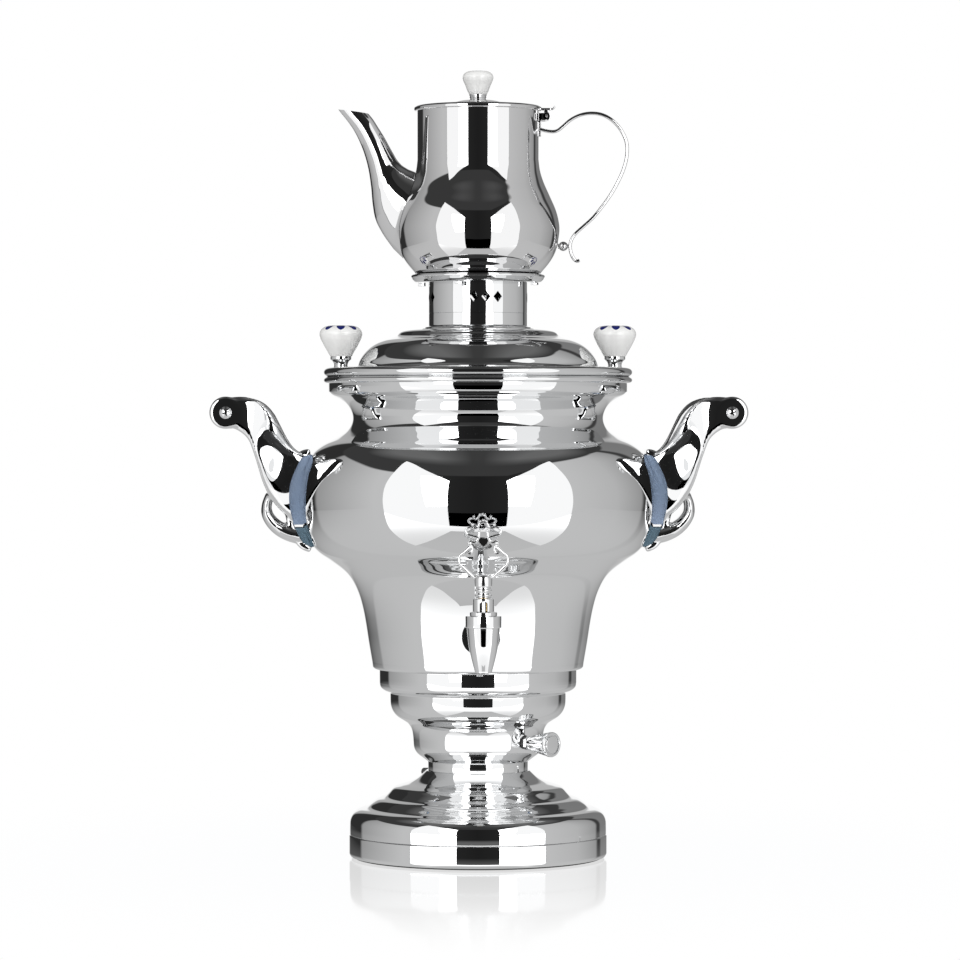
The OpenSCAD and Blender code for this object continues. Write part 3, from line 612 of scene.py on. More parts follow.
def new_material(name: str) -> tuple[bpy.types.Material, Nodes]:
    """New material with an empty tree, and its Nodes."""
    material = bpy.data.materials.new(name)
    material.use_nodes = True
    material.node_tree.nodes.clear()
    return material, Nodes(material.node_tree)


def _new_group(
    name: str, inputs: dict[str, float], outputs: Iterable[str]
) -> tuple[bpy.types.NodeTree, Nodes, bpy.types.NodeOutputs, bpy.types.NodeInputs]:
    """Makes a node group with float sockets.

    Args:
        name: Name of the group.
        inputs: Default value of each input by its name.
        outputs: Names of the outputs.

    Returns:
        The tree, its Nodes, the sockets that it is given and those that it fills.
    """
    tree = bpy.data.node_groups.new(name, "ShaderNodeTree")
    for key, value in inputs.items():
        socket = tree.interface.new_socket(key, in_out="INPUT", socket_type="NodeSocketFloat")
        socket.default_value = value
    for key in outputs:
        tree.interface.new_socket(key, in_out="OUTPUT", socket_type="NodeSocketFloat")
    nodes = Nodes(tree)
    return tree, nodes, nodes.add("NodeGroupInput").outputs, nodes.add("NodeGroupOutput").inputs


@cache
def polish_group() -> bpy.types.NodeTree:
    """Polished metal: patches of haze and the fine rings that polishing leaves."""
    tree, nodes, given, out = _new_group(
        "PolishMarks", {"Low": 0.02, "High": 0.06, "Patch Scale": 30.0, "Ring Scale": 900.0},
        ("Roughness", "Height"))
    place = nodes.place()
    patch = nodes.add("ShaderNodeTexNoise", Vector=place, Scale=given["Patch Scale"],
                      Detail=4.0, Roughness=0.6)
    haze = nodes.spread(patch.outputs["Fac"], 0.35, 0.75, given["Low"], given["High"])
    stretch = nodes.add("ShaderNodeMapping", Vector=place, Scale=(0.02, 0.02, 1.0))
    rings = nodes.add("ShaderNodeTexNoise", Vector=stretch.outputs[0],
                      Scale=given["Ring Scale"], Detail=2.0)
    nodes.feed(out["Roughness"], haze)
    nodes.feed(out["Height"], rings.outputs["Fac"])
    return tree


@cache
def grain_group() -> bpy.types.NodeTree:
    """Fine grain of moulded, painted and cast surfaces."""
    tree, nodes, given, out = _new_group(
        "FineGrain", {"Scale": 600.0, "Low": 0.4, "High": 0.6}, ("Roughness", "Height", "Shade"))
    place = nodes.place()
    fine = nodes.add("ShaderNodeTexNoise", Vector=place, Scale=given["Scale"], Detail=3.0)
    broad = nodes.add("ShaderNodeTexNoise", Vector=place, Scale=45.0, Detail=3.0)
    rough = nodes.spread(broad.outputs["Fac"], 0.3, 0.7, given["Low"], given["High"])
    nodes.feed(out["Roughness"], rough)
    nodes.feed(out["Height"], fine.outputs["Fac"])
    nodes.feed(out["Shade"], broad.outputs["Fac"])
    return tree


@cache
def petal_group() -> bpy.types.NodeTree:
    """Ring of painted petals on the shoulder of a knob."""
    tree, nodes, given, out = _new_group(
        "PetalRing", {"Centre X": 0.0, "Inner": 0.003, "Outer": 0.0125, "Half Width": 0.0023,
                      "Lowest Z": 0.0}, ("Petal",))
    calc = nodes.math
    parts = nodes.parts(nodes.place())
    x, y = calc("SUBTRACT", parts["X"], given["Centre X"]), parts["Y"]
    r = nodes.length(x, y)
    turn = calc("DIVIDE", calc("ARCTAN2", y, x), FULL_TURN / PETALS)
    # Whole turns keep the sum positive; the half centres a petal on each step.
    step = calc("FRACT", calc("ADD", turn, 2 * PETALS + 0.5))
    off = calc("MULTIPLY", calc("SUBTRACT", step, 0.5), FULL_TURN / PETALS)
    aside = calc("ABSOLUTE", calc("MULTIPLY", r, calc("SINE", off)))
    reach = calc("SUBTRACT", given["Outer"], given["Inner"])
    share = calc("DIVIDE", calc("SUBTRACT", r, given["Inner"]), reach)
    share = calc("MINIMUM", calc("MAXIMUM", share, 0.0), 1.0)
    round_end = calc("SQRT", calc("SUBTRACT", 1.0, calc("POWER", share, 3.0)))
    width = calc("MULTIPLY", calc("MULTIPLY", share, round_end),
                 calc("MULTIPLY", given["Half Width"], PETAL_FULLNESS))
    brush = nodes.spread(calc("SUBTRACT", width, aside), -0.0001, 0.0003)
    above = calc("GREATER_THAN", parts["Z"], given["Lowest Z"])
    nodes.feed(out["Petal"], calc("MULTIPLY", brush, above))
    return tree


@dataclass(frozen=True)
class Finish:
    """A surface finish; each kind fills in the shader in its own way."""

    name: str

    def dress(self, nodes: Nodes, shader: bpy.types.Node) -> None:
        """Fills in the shader."""
        raise NotImplementedError

    def bump(self, nodes: Nodes, shader: bpy.types.Node, height: bpy.types.NodeSocket,
             depth: float, strength: float) -> None:
        """Feeds a height of the given depth in metres to the shader's normal."""
        node = nodes.add("ShaderNodeBump", Height=height, Distance=depth, Strength=strength)
        nodes.feed(shader.inputs["Normal"], node.outputs["Normal"])

    def material(self) -> bpy.types.Material:
        """The finish as a material, made once."""
        made = bpy.data.materials.get(self.name)
        if made is None:
            made, nodes = new_material(self.name)
            shader = nodes.add("ShaderNodeBsdfPrincipled")
            nodes.surface(shader)
            self.dress(nodes, shader)
        return made


@dataclass(frozen=True)
class Metal(Finish):
    """Polished or satin metal."""

    tint: Colour
    low: float
    high: float
    patch_scale: float = 30.0
    ring_scale: float = 900.0
    depth: float = 0.000002
    strength: float = 0.04

    def dress(self, nodes: Nodes, shader: bpy.types.Node) -> None:
        """Metal whose haze and polishing rings come from the shared group."""
        marks = nodes.add("ShaderNodeGroup", node_tree=polish_group(), Low=self.low,
                          High=self.high, Patch_Scale=self.patch_scale,
                          Ring_Scale=self.ring_scale).outputs
        shader.inputs["Base Color"].default_value = (*self.tint, 1.0)
        shader.inputs["Metallic"].default_value = 1.0
        nodes.feed(shader.inputs["Roughness"], marks["Roughness"])
        self.bump(nodes, shader, marks["Height"], self.depth, self.strength)


@dataclass(frozen=True)
class Moulded(Finish):
    """Rubber, plastic, paint or unglazed ceramic."""

    dark: Colour
    light: Colour
    low: float
    high: float
    grain: float = 900.0
    depth: float = 0.00005
    strength: float = 0.3

    def shade(self, nodes: Nodes, mottle: bpy.types.NodeSocket) -> bpy.types.NodeSocket:
        """Two shades of one colour, mottled."""
        return nodes.ramp(mottle, [(0.3, self.dark), (0.7, self.light)])

    def dress(self, nodes: Nodes, shader: bpy.types.Node) -> None:
        """The mottled shade, with a fine grain."""
        grain = nodes.add("ShaderNodeGroup", node_tree=grain_group(), Scale=self.grain,
                          Low=self.low, High=self.high).outputs
        nodes.feed(shader.inputs["Base Color"], self.shade(nodes, grain["Shade"]))
        nodes.feed(shader.inputs["Roughness"], grain["Roughness"])
        self.bump(nodes, shader, grain["Height"], self.depth, self.strength)


@dataclass(frozen=True)
class RubberWithPaintedShade(Moulded):
    """Grey-blue rubber with a painted shade over its set-back lower end."""

    # Painted shade: the darker colour below low_z stands in for the shade on the set-back lower
    # block.
    painted_shade_colour: Colour = (0.12, 0.20, 0.26)
    low_z: float = 0.2155
    high_z: float = 0.2165

    def shade(self, nodes: Nodes, mottle: bpy.types.NodeSocket) -> bpy.types.NodeSocket:
        """The mottled colour, turned to the darker painted shade below the lower end's top."""
        # Painted shade: the colour turns darker below this height, where the lower block sits back.
        rise = nodes.spread(nodes.parts(nodes.place())["Z"], self.low_z, self.high_z)
        return nodes.blend(rise, (*self.painted_shade_colour, 1.0), super().shade(nodes, mottle))


@dataclass(frozen=True)
class PaintedGlaze(Finish):
    """White glazed ceramic with blue petals round the shoulder."""

    centre_x: float
    inner: float
    outer: float
    half_width: float
    lowest_z: float
    white: Colour = (0.86, 0.86, 0.85)
    blue: Colour = (0.008, 0.014, 0.14)
    grain: float = 60.0
    low: float = 0.16
    high: float = 0.24
    coat: float = 0.3
    coat_roughness: float = 0.06
    depth: float = 0.00002
    strength: float = 0.06

    def dress(self, nodes: Nodes, shader: bpy.types.Node) -> None:
        """White glaze over petals, with a faint unevenness in the coat."""
        petal = nodes.add("ShaderNodeGroup", node_tree=petal_group(), Centre_X=self.centre_x,
                          Inner=self.inner, Outer=self.outer, Half_Width=self.half_width,
                          Lowest_Z=self.lowest_z)
        grain = nodes.add("ShaderNodeGroup", node_tree=grain_group(), Scale=self.grain,
                          Low=self.low, High=self.high).outputs
        nodes.feed(shader.inputs["Base Color"],
                   nodes.ramp(petal.outputs["Petal"], [(0.0, self.white), (1.0, self.blue)]))
        nodes.feed(shader.inputs["Roughness"], grain["Roughness"])
        shader.inputs["Coat Weight"].default_value = self.coat
        shader.inputs["Coat Roughness"].default_value = self.coat_roughness
        self.bump(nodes, shader, grain["Height"], self.depth, self.strength)


CHROME = Metal("mirror_chrome", (0.84, 0.845, 0.85), 0.012, 0.035)
CASTING = Metal("cast_chrome", (0.85, 0.855, 0.86), 0.015, 0.05, patch_scale=60.0)
POT_STEEL = Metal("pot_steel", (0.82, 0.82, 0.825), 0.012, 0.04, ring_scale=700.0)
STEEL = Metal("satin_steel", (0.62, 0.62, 0.62), 0.22, 0.34, ring_scale=3000.0,
              depth=0.00001, strength=0.3)
ALUMINIUM = Metal("cast_aluminium", (0.66, 0.67, 0.68), 0.3, 0.5, depth=0.00003, strength=0.4)
BRASS = Metal("turned_brass", (0.72, 0.52, 0.22), 0.12, 0.24, ring_scale=3000.0,
              depth=0.00001, strength=0.3)
BISQUE = Moulded("unglazed_ceramic", (0.72, 0.70, 0.66), (0.80, 0.78, 0.74), 0.6, 0.8)
RUBBER = Moulded("black_rubber", (0.012, 0.012, 0.012), (0.03, 0.03, 0.03), 0.55, 0.75)
PAINT = Moulded("black_stove_paint", (0.015, 0.015, 0.015), (0.03, 0.03, 0.03), 0.4, 0.6)
PLASTIC = Moulded("black_plastic", (0.012, 0.012, 0.013), (0.022, 0.022, 0.023), 0.35, 0.5)
# The gasket's lower block is darkened with painted shade.
GASKET = RubberWithPaintedShade("grey_blue_rubber", (0.23, 0.32, 0.46), (0.29, 0.37, 0.52), 0.45, 0.6,
                         grain=1500.0, depth=0.00002, strength=0.15)
LID_GLAZE = {
    side: PaintedGlaze(f"painted_glaze_{side.word}", side.value * 0.089, 0.0034, 0.0131, 0.0028,
                       0.3398)
    for side in Side
}
POT_GLAZE = PaintedGlaze("plain_glaze_pot", 0.0, 0.0023, 0.0080, 0.0018, 0.5104)

SLOT_FINISH = {
    Slot.SHEET: CHROME, Slot.CASTING: CASTING, Slot.POT: POT_STEEL, Slot.STEEL: STEEL,
    Slot.ALUMINIUM: ALUMINIUM, Slot.BRASS: BRASS, Slot.GLAZE: POT_GLAZE, Slot.BISQUE: BISQUE,
    Slot.GASKET: GASKET, Slot.RUBBER: RUBBER, Slot.PAINT: PAINT, Slot.PLASTIC: PLASTIC,
}


def place_piece(
    solid: Solid, name: str, body: Body, slot: Slot, stands_for: Sequence[str],
    sharp: float = 32.0, finish: Finish | None = None,
) -> None:
    """Turns a solid into a dressed piece of the object.

    Args:
        solid: The finished solid, in millimetres.
        name: Name of the new piece.
        body: Body that it rides on.
        slot: Material slot of the record that it takes its finish from.
        stands_for: Nodes that it replaces.
        sharp: Angle in degrees above which an edge stays sharp.
        finish: Its finish, where it isn't the usual one of the slot.
    """
    mesh = solid.mesh(name, MM)
    mesh.shade_smooth()
    mesh.set_sharp_from_angle(angle=math.radians(sharp))
    mesh.materials.append((finish or SLOT_FINISH[slot]).material())
    piece = _linked(name, mesh)
    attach(piece, body.value)
    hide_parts(*stands_for)
    log.info("%s: %d faces, rides on %s", name, len(mesh.polygons), body.value)


# ---- studio ----


@dataclass
class Studio:
    """Camera at the photograph's angle, white floor and two long softboxes."""

    camera_distance: float = 2.6
    camera_height: float = 0.281
    camera_turn: float = -1.5
    camera_pitch: float = 0.79
    axis_offset: float = 0.0013
    lens: float = 150.0
    sensor: float = 36.0
    box_near: float = 1.2
    box_far: float = 2.7
    box_near_turn: float = 60.0
    box_far_turn: float = 18.8
    box_top: float = 1.52
    box_low: float = -1.52
    box_glow: float = 1.12
    box_glow_below: float = 4.0
    join_z: float = -0.42
    floor_reach: float = 12.0
    floor_z: float = -0.0001
    mirror_share: float = 0.30
    mirror_fade: Pair = (0.085, 0.50)
    mirror_tint: Colour = (0.95, 0.96, 0.98)
    table_front: float = 0.53
    table_back: float = 2.5
    table_side: float = 1.6
    table_z: float = -0.0002
    table_glow: float = 0.60
    table_gloss: float = 1.6
    room_light: float = 0.72
    lamp_power: float = 9.0
    lamp_share: float = 0.6
    lamp_z: float = 0.6
    lamp_height: float = 1.2
    lamp_aim_z: float = 0.25
    wall_shades: Path = (
        (-180, 0.50), (-166, 0.42), (-163, 0.03), (-130, 0.03), (-126, 0.34), (-70, 0.60),
        (-62, 0.60), (-58, 0.03), (0, 0.015), (58, 0.03), (62, 0.60), (100, 0.52), (130, 0.34),
        (134, 0.05), (139, 0.05), (143, 0.22), (166, 0.20), (170, 0.50))
    wall_x: Pair = (0.3, 0.6)
    wall_top: Pair = (0.565, 0.72)
    wall_edge: float = 0.01
    ceiling_shades: Path = ((0.05, 0.05), (0.35, 0.15))
    overhead_z: Pair = (0.74, 0.86)
    overhead_shade: float = 0.045
    backdrop_y: Pair = (0.965, 0.98)

    def build(self) -> None:
        """Makes the camera, the floors, the softboxes, the lamps and the world."""
        self.add_camera()
        self.add_floor()
        self.add_table()
        for side in Side:
            self.add_softbox(side)
            self.add_lamp(side)
        self.add_joining_box()
        self.add_world()
        bpy.context.scene.view_settings.view_transform = "Standard"

    def facing(self, turn: float, distance: float, height: float) -> Vector:
        """Place at a turn from the camera's direction, in degrees towards +X."""
        angle = math.radians(turn + self.camera_turn)
        return Vector((math.sin(angle), -math.cos(angle), 0)) * distance + Vector((0, 0, height))

    def add_camera(self) -> None:
        """Camera in front, level with the tank, tilted a little down."""
        data = bpy.data.cameras.new("camera")
        data.lens = self.lens
        data.sensor_width = self.sensor
        data.clip_start, data.clip_end = 0.05, 50.0
        camera = _linked("camera", data)
        angle = math.radians(self.camera_turn)
        right = Vector((math.cos(angle), math.sin(angle), 0))
        camera.location = (self.facing(0.0, self.camera_distance, self.camera_height)
                           + right * self.axis_offset)
        camera.rotation_euler = (math.radians(90 - self.camera_pitch), 0, angle)
        bpy.context.scene.camera = camera

    def add_face(self, name: str, corners: Iterable[Sequence[float]],
                 material: bpy.types.Material, seen_by: Sequence[str]) -> None:
        """Adds one staged face that only some kinds of ray see.

        Args:
            name: Name of the face.
            corners: Its four corners.
            material: Its material.
            seen_by: Kinds of ray, out of camera, glossy, diffuse, transmission and shadow.
        """
        bm = bmesh.new()
        bm.faces.new([bm.verts.new(c) for c in corners])
        mesh = bpy.data.meshes.new(name)
        bm.to_mesh(mesh)
        bm.free()
        mesh.materials.append(material)
        panel = _linked(name, mesh)
        for kind in ("camera", "glossy", "diffuse", "transmission", "shadow"):
            setattr(panel, f"visible_{kind}", kind in seen_by)

    def add_floor(self) -> None:
        """White floor that the camera sees, with a mirror image that fades forwards."""
        material, nodes = new_material("floor_white")
        parts = nodes.parts(nodes.place())
        away = nodes.length(parts["X"], parts["Y"])
        fade = nodes.spread(away, *self.mirror_fade, self.mirror_share, 0.0, "SMOOTHSTEP")
        glow = nodes.add("ShaderNodeEmission", Color=WHITE, Strength=1.0)
        gloss = nodes.add("ShaderNodeBsdfGlossy", Color=(*self.mirror_tint, 1.0), Roughness=0.06)
        nodes.surface(nodes.mixed(fade, glow, gloss))
        reach, z = self.floor_reach, self.floor_z
        corners = [(-reach, -reach, z), (reach, -reach, z), (reach, reach, z), (-reach, reach, z)]
        self.add_face("floor", corners, material, ("camera",))

    def add_table(self) -> None:
        """Bright table top that the chrome reflects, cut off in front.

        What it would mirror is seen through it, as the studio goes on below it.
        """
        material, nodes = new_material("table_white")
        glow = nodes.add("ShaderNodeEmission", Color=WHITE, Strength=self.table_glow)
        through = nodes.add("ShaderNodeBsdfTransparent")
        fresnel = nodes.add("ShaderNodeFresnel", IOR=1.5).outputs[0]
        share = nodes.math("MINIMUM", 1.0, nodes.math("MULTIPLY", fresnel, self.table_gloss))
        nodes.surface(nodes.mixed(share, glow, through))
        x, near, far, z = self.table_side, -self.table_front, self.table_back, self.table_z
        corners = [(-x, near, z), (x, near, z), (x, far, z), (-x, far, z)]
        self.add_face("table", corners, material, ("glossy", "diffuse"))

    def box_ends(self, side: Side) -> tuple[Vector, Vector]:
        """Far and near end of a softbox at table level."""
        far = self.facing(side.value * self.box_far_turn, self.box_far, 0)
        near = self.facing(side.value * self.box_near_turn, self.box_near, 0)
        return far, near

    def add_panel(self, name: str, ends: Sequence[Vector], top: float, direct: float) -> None:
        """Adds an upright glow that is brighter where it is seen through the table.

        Args:
            name: Name of the panel.
            ends: Its two ends at table level.
            top: Height of its upper edge.
            direct: Strength of its glow where it isn't seen through the table.
        """
        material, nodes = new_material(f"{name}_glow")
        depth = nodes.add("ShaderNodeLightPath").outputs["Transparent Depth"]
        below = nodes.math("GREATER_THAN", depth, 0.5)
        strength = nodes.math("MULTIPLY_ADD", below, self.box_glow_below - direct, direct)
        nodes.surface(nodes.add("ShaderNodeEmission", Color=WHITE, Strength=strength))
        low, high = Vector((0, 0, self.box_low)), Vector((0, 0, top))
        first, second = ends
        corners = [first + low, second + low, second + high, first + high]
        self.add_face(name, corners, material, ("glossy",))

    def add_softbox(self, side: Side) -> None:
        """Tall softbox beside the shooting axis, seen in reflections only."""
        self.add_panel(f"softbox_{side.word}", self.box_ends(side), self.box_top, self.box_glow)

    def add_joining_box(self) -> None:
        """Glow between the softboxes, seen through the table only."""
        ends = [self.box_ends(side)[0] for side in Side]
        self.add_panel("softbox_between", ends, self.join_z, 0.0)

    def add_lamp(self, side: Side) -> None:
        """Area lamp at the softbox that lights what isn't metal."""
        far, near = self.box_ends(side)
        middle = far.lerp(near, self.lamp_share) + Vector((0, 0, self.lamp_z))
        data = bpy.data.lights.new(f"lamp_{side.word}", "AREA")
        data.shape = "RECTANGLE"
        data.size, data.size_y = (near - far).length * 0.7, self.lamp_height
        data.energy = self.lamp_power
        lamp = _linked(data.name, data)
        lamp.location = middle
        aim = Vector((0, 0, self.lamp_aim_z)) - middle
        lamp.rotation_euler = aim.to_track_quat("-Z", "Y").to_euler()
        lamp.visible_camera = False
        lamp.visible_glossy = False

    def room_colour(self, nodes: Nodes) -> bpy.types.NodeSocket:
        """Colour of the dark room, with pale walls beside it and a white backdrop."""
        ray = nodes.add("ShaderNodeTexCoord").outputs["Generated"]
        turned = nodes.add("ShaderNodeVectorRotate", Vector=ray, rotation_type="Z_AXIS",
                           Angle=math.radians(-self.camera_turn))
        parts = nodes.parts(turned.outputs[0])
        angle = nodes.math("ARCTAN2", parts["X"], nodes.math("MULTIPLY", parts["Y"], -1.0))
        share = nodes.math("MULTIPLY_ADD", angle, 1 / FULL_TURN, 0.5)
        walls = nodes.ramp(share, [(0.5 + turn / 360, shade) for turn, shade in self.wall_shades])
        across = nodes.ramp(nodes.math("ABSOLUTE", parts["X"]), self.ceiling_shades)
        overhead = nodes.spread(parts["Z"], *self.overhead_z)
        ceiling = nodes.blend(overhead, self.overhead_shade, across)
        top = nodes.spread(parts["X"], *self.wall_x, *self.wall_top)
        over = nodes.math("SUBTRACT", parts["Z"], top)
        sides = nodes.blend(nodes.spread(over, -self.wall_edge, self.wall_edge), walls, ceiling)
        return nodes.blend(nodes.spread(parts["Y"], *self.backdrop_y), sides, 1.0)

    def add_world(self) -> None:
        """White for the camera, even light for what isn't metal, the room for reflections."""
        world = bpy.data.worlds.new("studio")
        world.use_nodes = True
        world.node_tree.nodes.clear()
        bpy.context.scene.world = world
        nodes = Nodes(world.node_tree)
        room = nodes.add("ShaderNodeBackground", Strength=1.0, Color=self.room_colour(nodes))
        soft = nodes.add("ShaderNodeBackground", Color=WHITE, Strength=self.room_light)
        white = nodes.add("ShaderNodeBackground", Color=WHITE, Strength=1.0)
        path = nodes.add("ShaderNodeLightPath").outputs
        seen = nodes.mixed(path["Is Diffuse Ray"], room, soft)
        nodes.surface(nodes.mixed(path["Is Camera Ray"], seen, white), "ShaderNodeOutputWorld")


# ---- sub-assemblies ----


def lifted(points: Path, z: float) -> list[Pair]:
    """The outline raised by z."""
    return [(r, h + z) for r, h in points]


def arch(half: float, low: float, top: float) -> list[Pair]:
    """Outline of an opening between two heights with a round top."""
    return [(-half, low), (half, low), *arc((0, top - half), half, 0, 180, 16)]


@dataclass
class Base:
    """Band, stepped cover and neck collar."""

    band_r: float = 83.9
    band_top: float = 15.3
    wall: float = 1.0
    neck_r: float = 32.5
    neck_z: float = 56.6
    collar_top: float = 62.6
    notch_turn: float = 48.0
    notch_half: float = 2.5
    notch_depth: float = 0.55
    cord_z: float = 52.4
    cord_turn: float = 133.0
    cord_r: float = 2.9
    cover_line: Path = (
        (83.5, 15.3), (83.5, 20.5), (83.1, 25.2), (81.2, 28.8), (77.4, 31.4), (71.8, 33.1),
        (68.8, 35.6), (65.0, 38.1), (60.2, 39.9), (57.5, 42.5), (54.8, 45.4), (50.2, 47.2),
        (43.7, 49.2), (38.4, 52.2), (33.5, 56.6))

    def build(self) -> None:
        """Makes the three chromed shells."""
        self.band()
        self.cover()
        self.collar()

    def notch(self, solid: Solid, radius: float, z: float, height: float) -> None:
        """Cuts an arched recess that stands on height z into a wall."""
        place = _turn(self.notch_turn, "Z") @ _front(0, -radius, z)
        tool = Solid().prism(arch(self.notch_half, -1.0, height), -self.notch_depth, 6.0, place)
        solid.combine(tool, Join.CUT)

    def band(self) -> None:
        """Upright band with a soft upper corner."""
        corner = 1.1
        outline = [(self.band_r - 1, 1.0), (self.band_r - 0.12, 2.6), (self.band_r, 3.2),
                   (self.band_r, 3.8)]
        outline += arc((self.band_r - corner, self.band_top - corner), corner, 0, 90)
        outline.append((self.band_r - 10, self.band_top))
        solid = Solid().turned(sheet(outline, self.wall))
        place_piece(solid, "band_shell", Body.SAMOVAR, Slot.SHEET, ["base_band"])

    def cover(self) -> None:
        """Stepped cover with its arched notch and the cord's hole."""
        line = faired(smooth(self.cover_line), 0.5, 5)
        outline = [*line, (self.neck_r - 6.5, self.neck_z)]
        solid = Solid().turned(sheet(outline, self.wall))
        self.notch(solid, self.band_r, self.band_top, 5.2)
        cord = _move(0, 0, self.cord_z) @ _turn(self.cord_turn, "Z") @ _turn(90, "Y")
        solid.combine(Solid().rod(self.cord_r, 34.0, 54.0, cord), Join.CUT)
        place_piece(solid, "cover_shell", Body.SAMOVAR, Slot.SHEET, ["base_cover"])

    def collar(self) -> None:
        """Short neck with its arched notch."""
        outline = [(self.neck_r, self.neck_z), (self.neck_r, self.collar_top)]
        solid = Solid().turned(sheet(outline, self.wall, 0.25))
        self.notch(solid, self.neck_r, self.neck_z, 4.8)
        place_piece(solid, "collar_ring", Body.SAMOVAR, Slot.SHEET, ["neck_collar"])


@dataclass
class Housing:
    """Stepped bowl under the tank, and the thermostat's knob."""

    wall: float = 1.0
    seat_z: float = 122.6
    knob_z: float = 76.5
    knob_turn: float = 45.0
    knob_start: float = 46.6
    knob_end: float = 65.7
    flutes: int = 14
    flute_depth: float = 0.55
    flute_start: float = 1.5
    flute_end: float = 3.0
    bowl_line: Path = (
        (33.0, 62.6), (36.2, 65.0), (39.9, 68.0), (41.6, 71.0), (42.1, 75.0), (42.4, 79.0),
        (43.5, 84.0), (45.6, 87.1), (49.0, 89.4), (52.9, 92.0), (55.5, 95.2), (56.9, 99.0),
        (57.2, 103.0), (57.2, 107.0))
    step_line: Path = ((58.0, 107.6), (61.8, 109.2), (63.6, 111.0), (64.2, 114.0))

    def build(self) -> None:
        """Makes the bowl and the turning knob."""
        outline = [(26.0, 62.6), *faired(smooth(self.bowl_line), 0.5, 5),
                   *faired(smooth(self.step_line), 0.4, 3), (64.2, self.seat_z),
                   (58.0, self.seat_z)]
        solid = Solid().turned(sheet(outline, self.wall, 0.35))
        solid.combine(Solid().rod(4.0, 36.0, 48.0, self.knob_axis()), Join.CUT)
        place_piece(solid, "bowl_shell", Body.SAMOVAR, Slot.SHEET, ["lower_housing"])
        self.knob()
        self.cap()

    def knob_axis(self) -> Matrix:
        """Frame of the thermostat's axis: Z points outwards."""
        return _move(0, 0, self.knob_z) @ _turn(self.knob_turn - 90, "Z") @ _turn(90, "Y")

    def knob(self) -> None:
        """Tapered knob whose flutes deepen towards its face."""
        start, end = self.knob_start, self.knob_end
        section = eased([
            (2.0, start), (4.2, start), (4.7, start + 0.6), (7.8, end - 2.6), (8.0, end - 2.0),
            (8.0, end - 0.4), (7.6, end), (6.6, end), (6.6, end - 1.2), (2.0, end - 1.2)], 0.25)
        dense = evened([*section, section[0]], 0.35)[:-1]
        solid = Solid().turned(dense, steps=self.flutes * 12)
        length = end - self.flute_end - start - self.flute_start
        for vert in solid.bm.verts:
            radius = math.hypot(vert.co.x, vert.co.y)
            rise = (vert.co.z - start - self.flute_start) / length
            if radius < 4.0 or not 0 < rise < 1:
                continue
            turn = math.atan2(vert.co.y, vert.co.x) * self.flutes
            fade = math.sqrt(rise) * min(1.0, (1 - rise) * 8) * max(0.0, math.cos(turn))
            vert.co.xy *= 1 - self.flute_depth * fade / radius
        solid.move(self.knob_axis())
        place_piece(solid, "dial_knob", Body.DIAL, Slot.CASTING, ["thermostat_knob"])

    def cap(self) -> None:
        """Bright disc in the knob's face."""
        end = self.knob_end
        section = eased([(0, end - 1.2), (5.6, end - 1.2), (5.6, end - 0.3), (5.3, end), (0, end)],
                        0.2, closed=False)
        solid = Solid().turned(section, self.knob_axis(), closed=False, steps=96)
        place_piece(solid, "dial_cap", Body.DIAL, Slot.CASTING, ["thermostat_cap"],
                    finish=CHROME)


@dataclass
class Tank:
    """Spun tank wall with its rolled rim."""

    wall: float = 1.0
    seat_z: float = Housing.seat_z
    mouth_r: float = 97.2
    rim_z: float = 312.0
    bead_r: float = 2.1
    line: Path = (
        (69.0, 127.0), (71.4, 141.0), (73.0, 151.5), (75.0, 162.0), (78.0, 172.3),
        (83.5, 182.7), (95.9, 193.0), (103.7, 198.3), (109.2, 204.8), (113.0, 212.6),
        (115.3, 222.0), (116.3, 236.0), (115.0, 245.7), (112.3, 253.8), (106.4, 263.8),
        (100.4, 268.5), (90.0, 273.7), (83.5, 279.0), (81.3, 285.5), (82.2, 289.3),
        (85.5, 294.5), (90.5, 298.0), (96.0, 300.8), (97.2, 302.6))

    def outer(self) -> list[Pair]:
        """Outer outline from the seat to the mouth."""
        foot = arc((66.2, self.seat_z + 2.6), 2.6, -90, -15)
        return [(57.0, self.seat_z), *foot, *faired(smooth(self.line), 0.7, 14)]

    def build(self) -> None:
        """Makes the tank's wall."""
        outer = self.outer()
        bead = arc((self.mouth_r + 1.2, self.rim_z - self.bead_r), self.bead_r, -125, 90, 24)
        inner = beside([*outer, (self.mouth_r, self.rim_z - 1)], self.wall)[::-1]
        section = [*outer, *bead, (self.mouth_r - self.wall, self.rim_z), *inner]
        solid = Solid().turned(section)
        place_piece(solid, "tank_wall", Body.SAMOVAR, Slot.SHEET,
                    ["tank_cone", "tank_bowl", "tank_shoulder", "tank_neck"], 40.0)


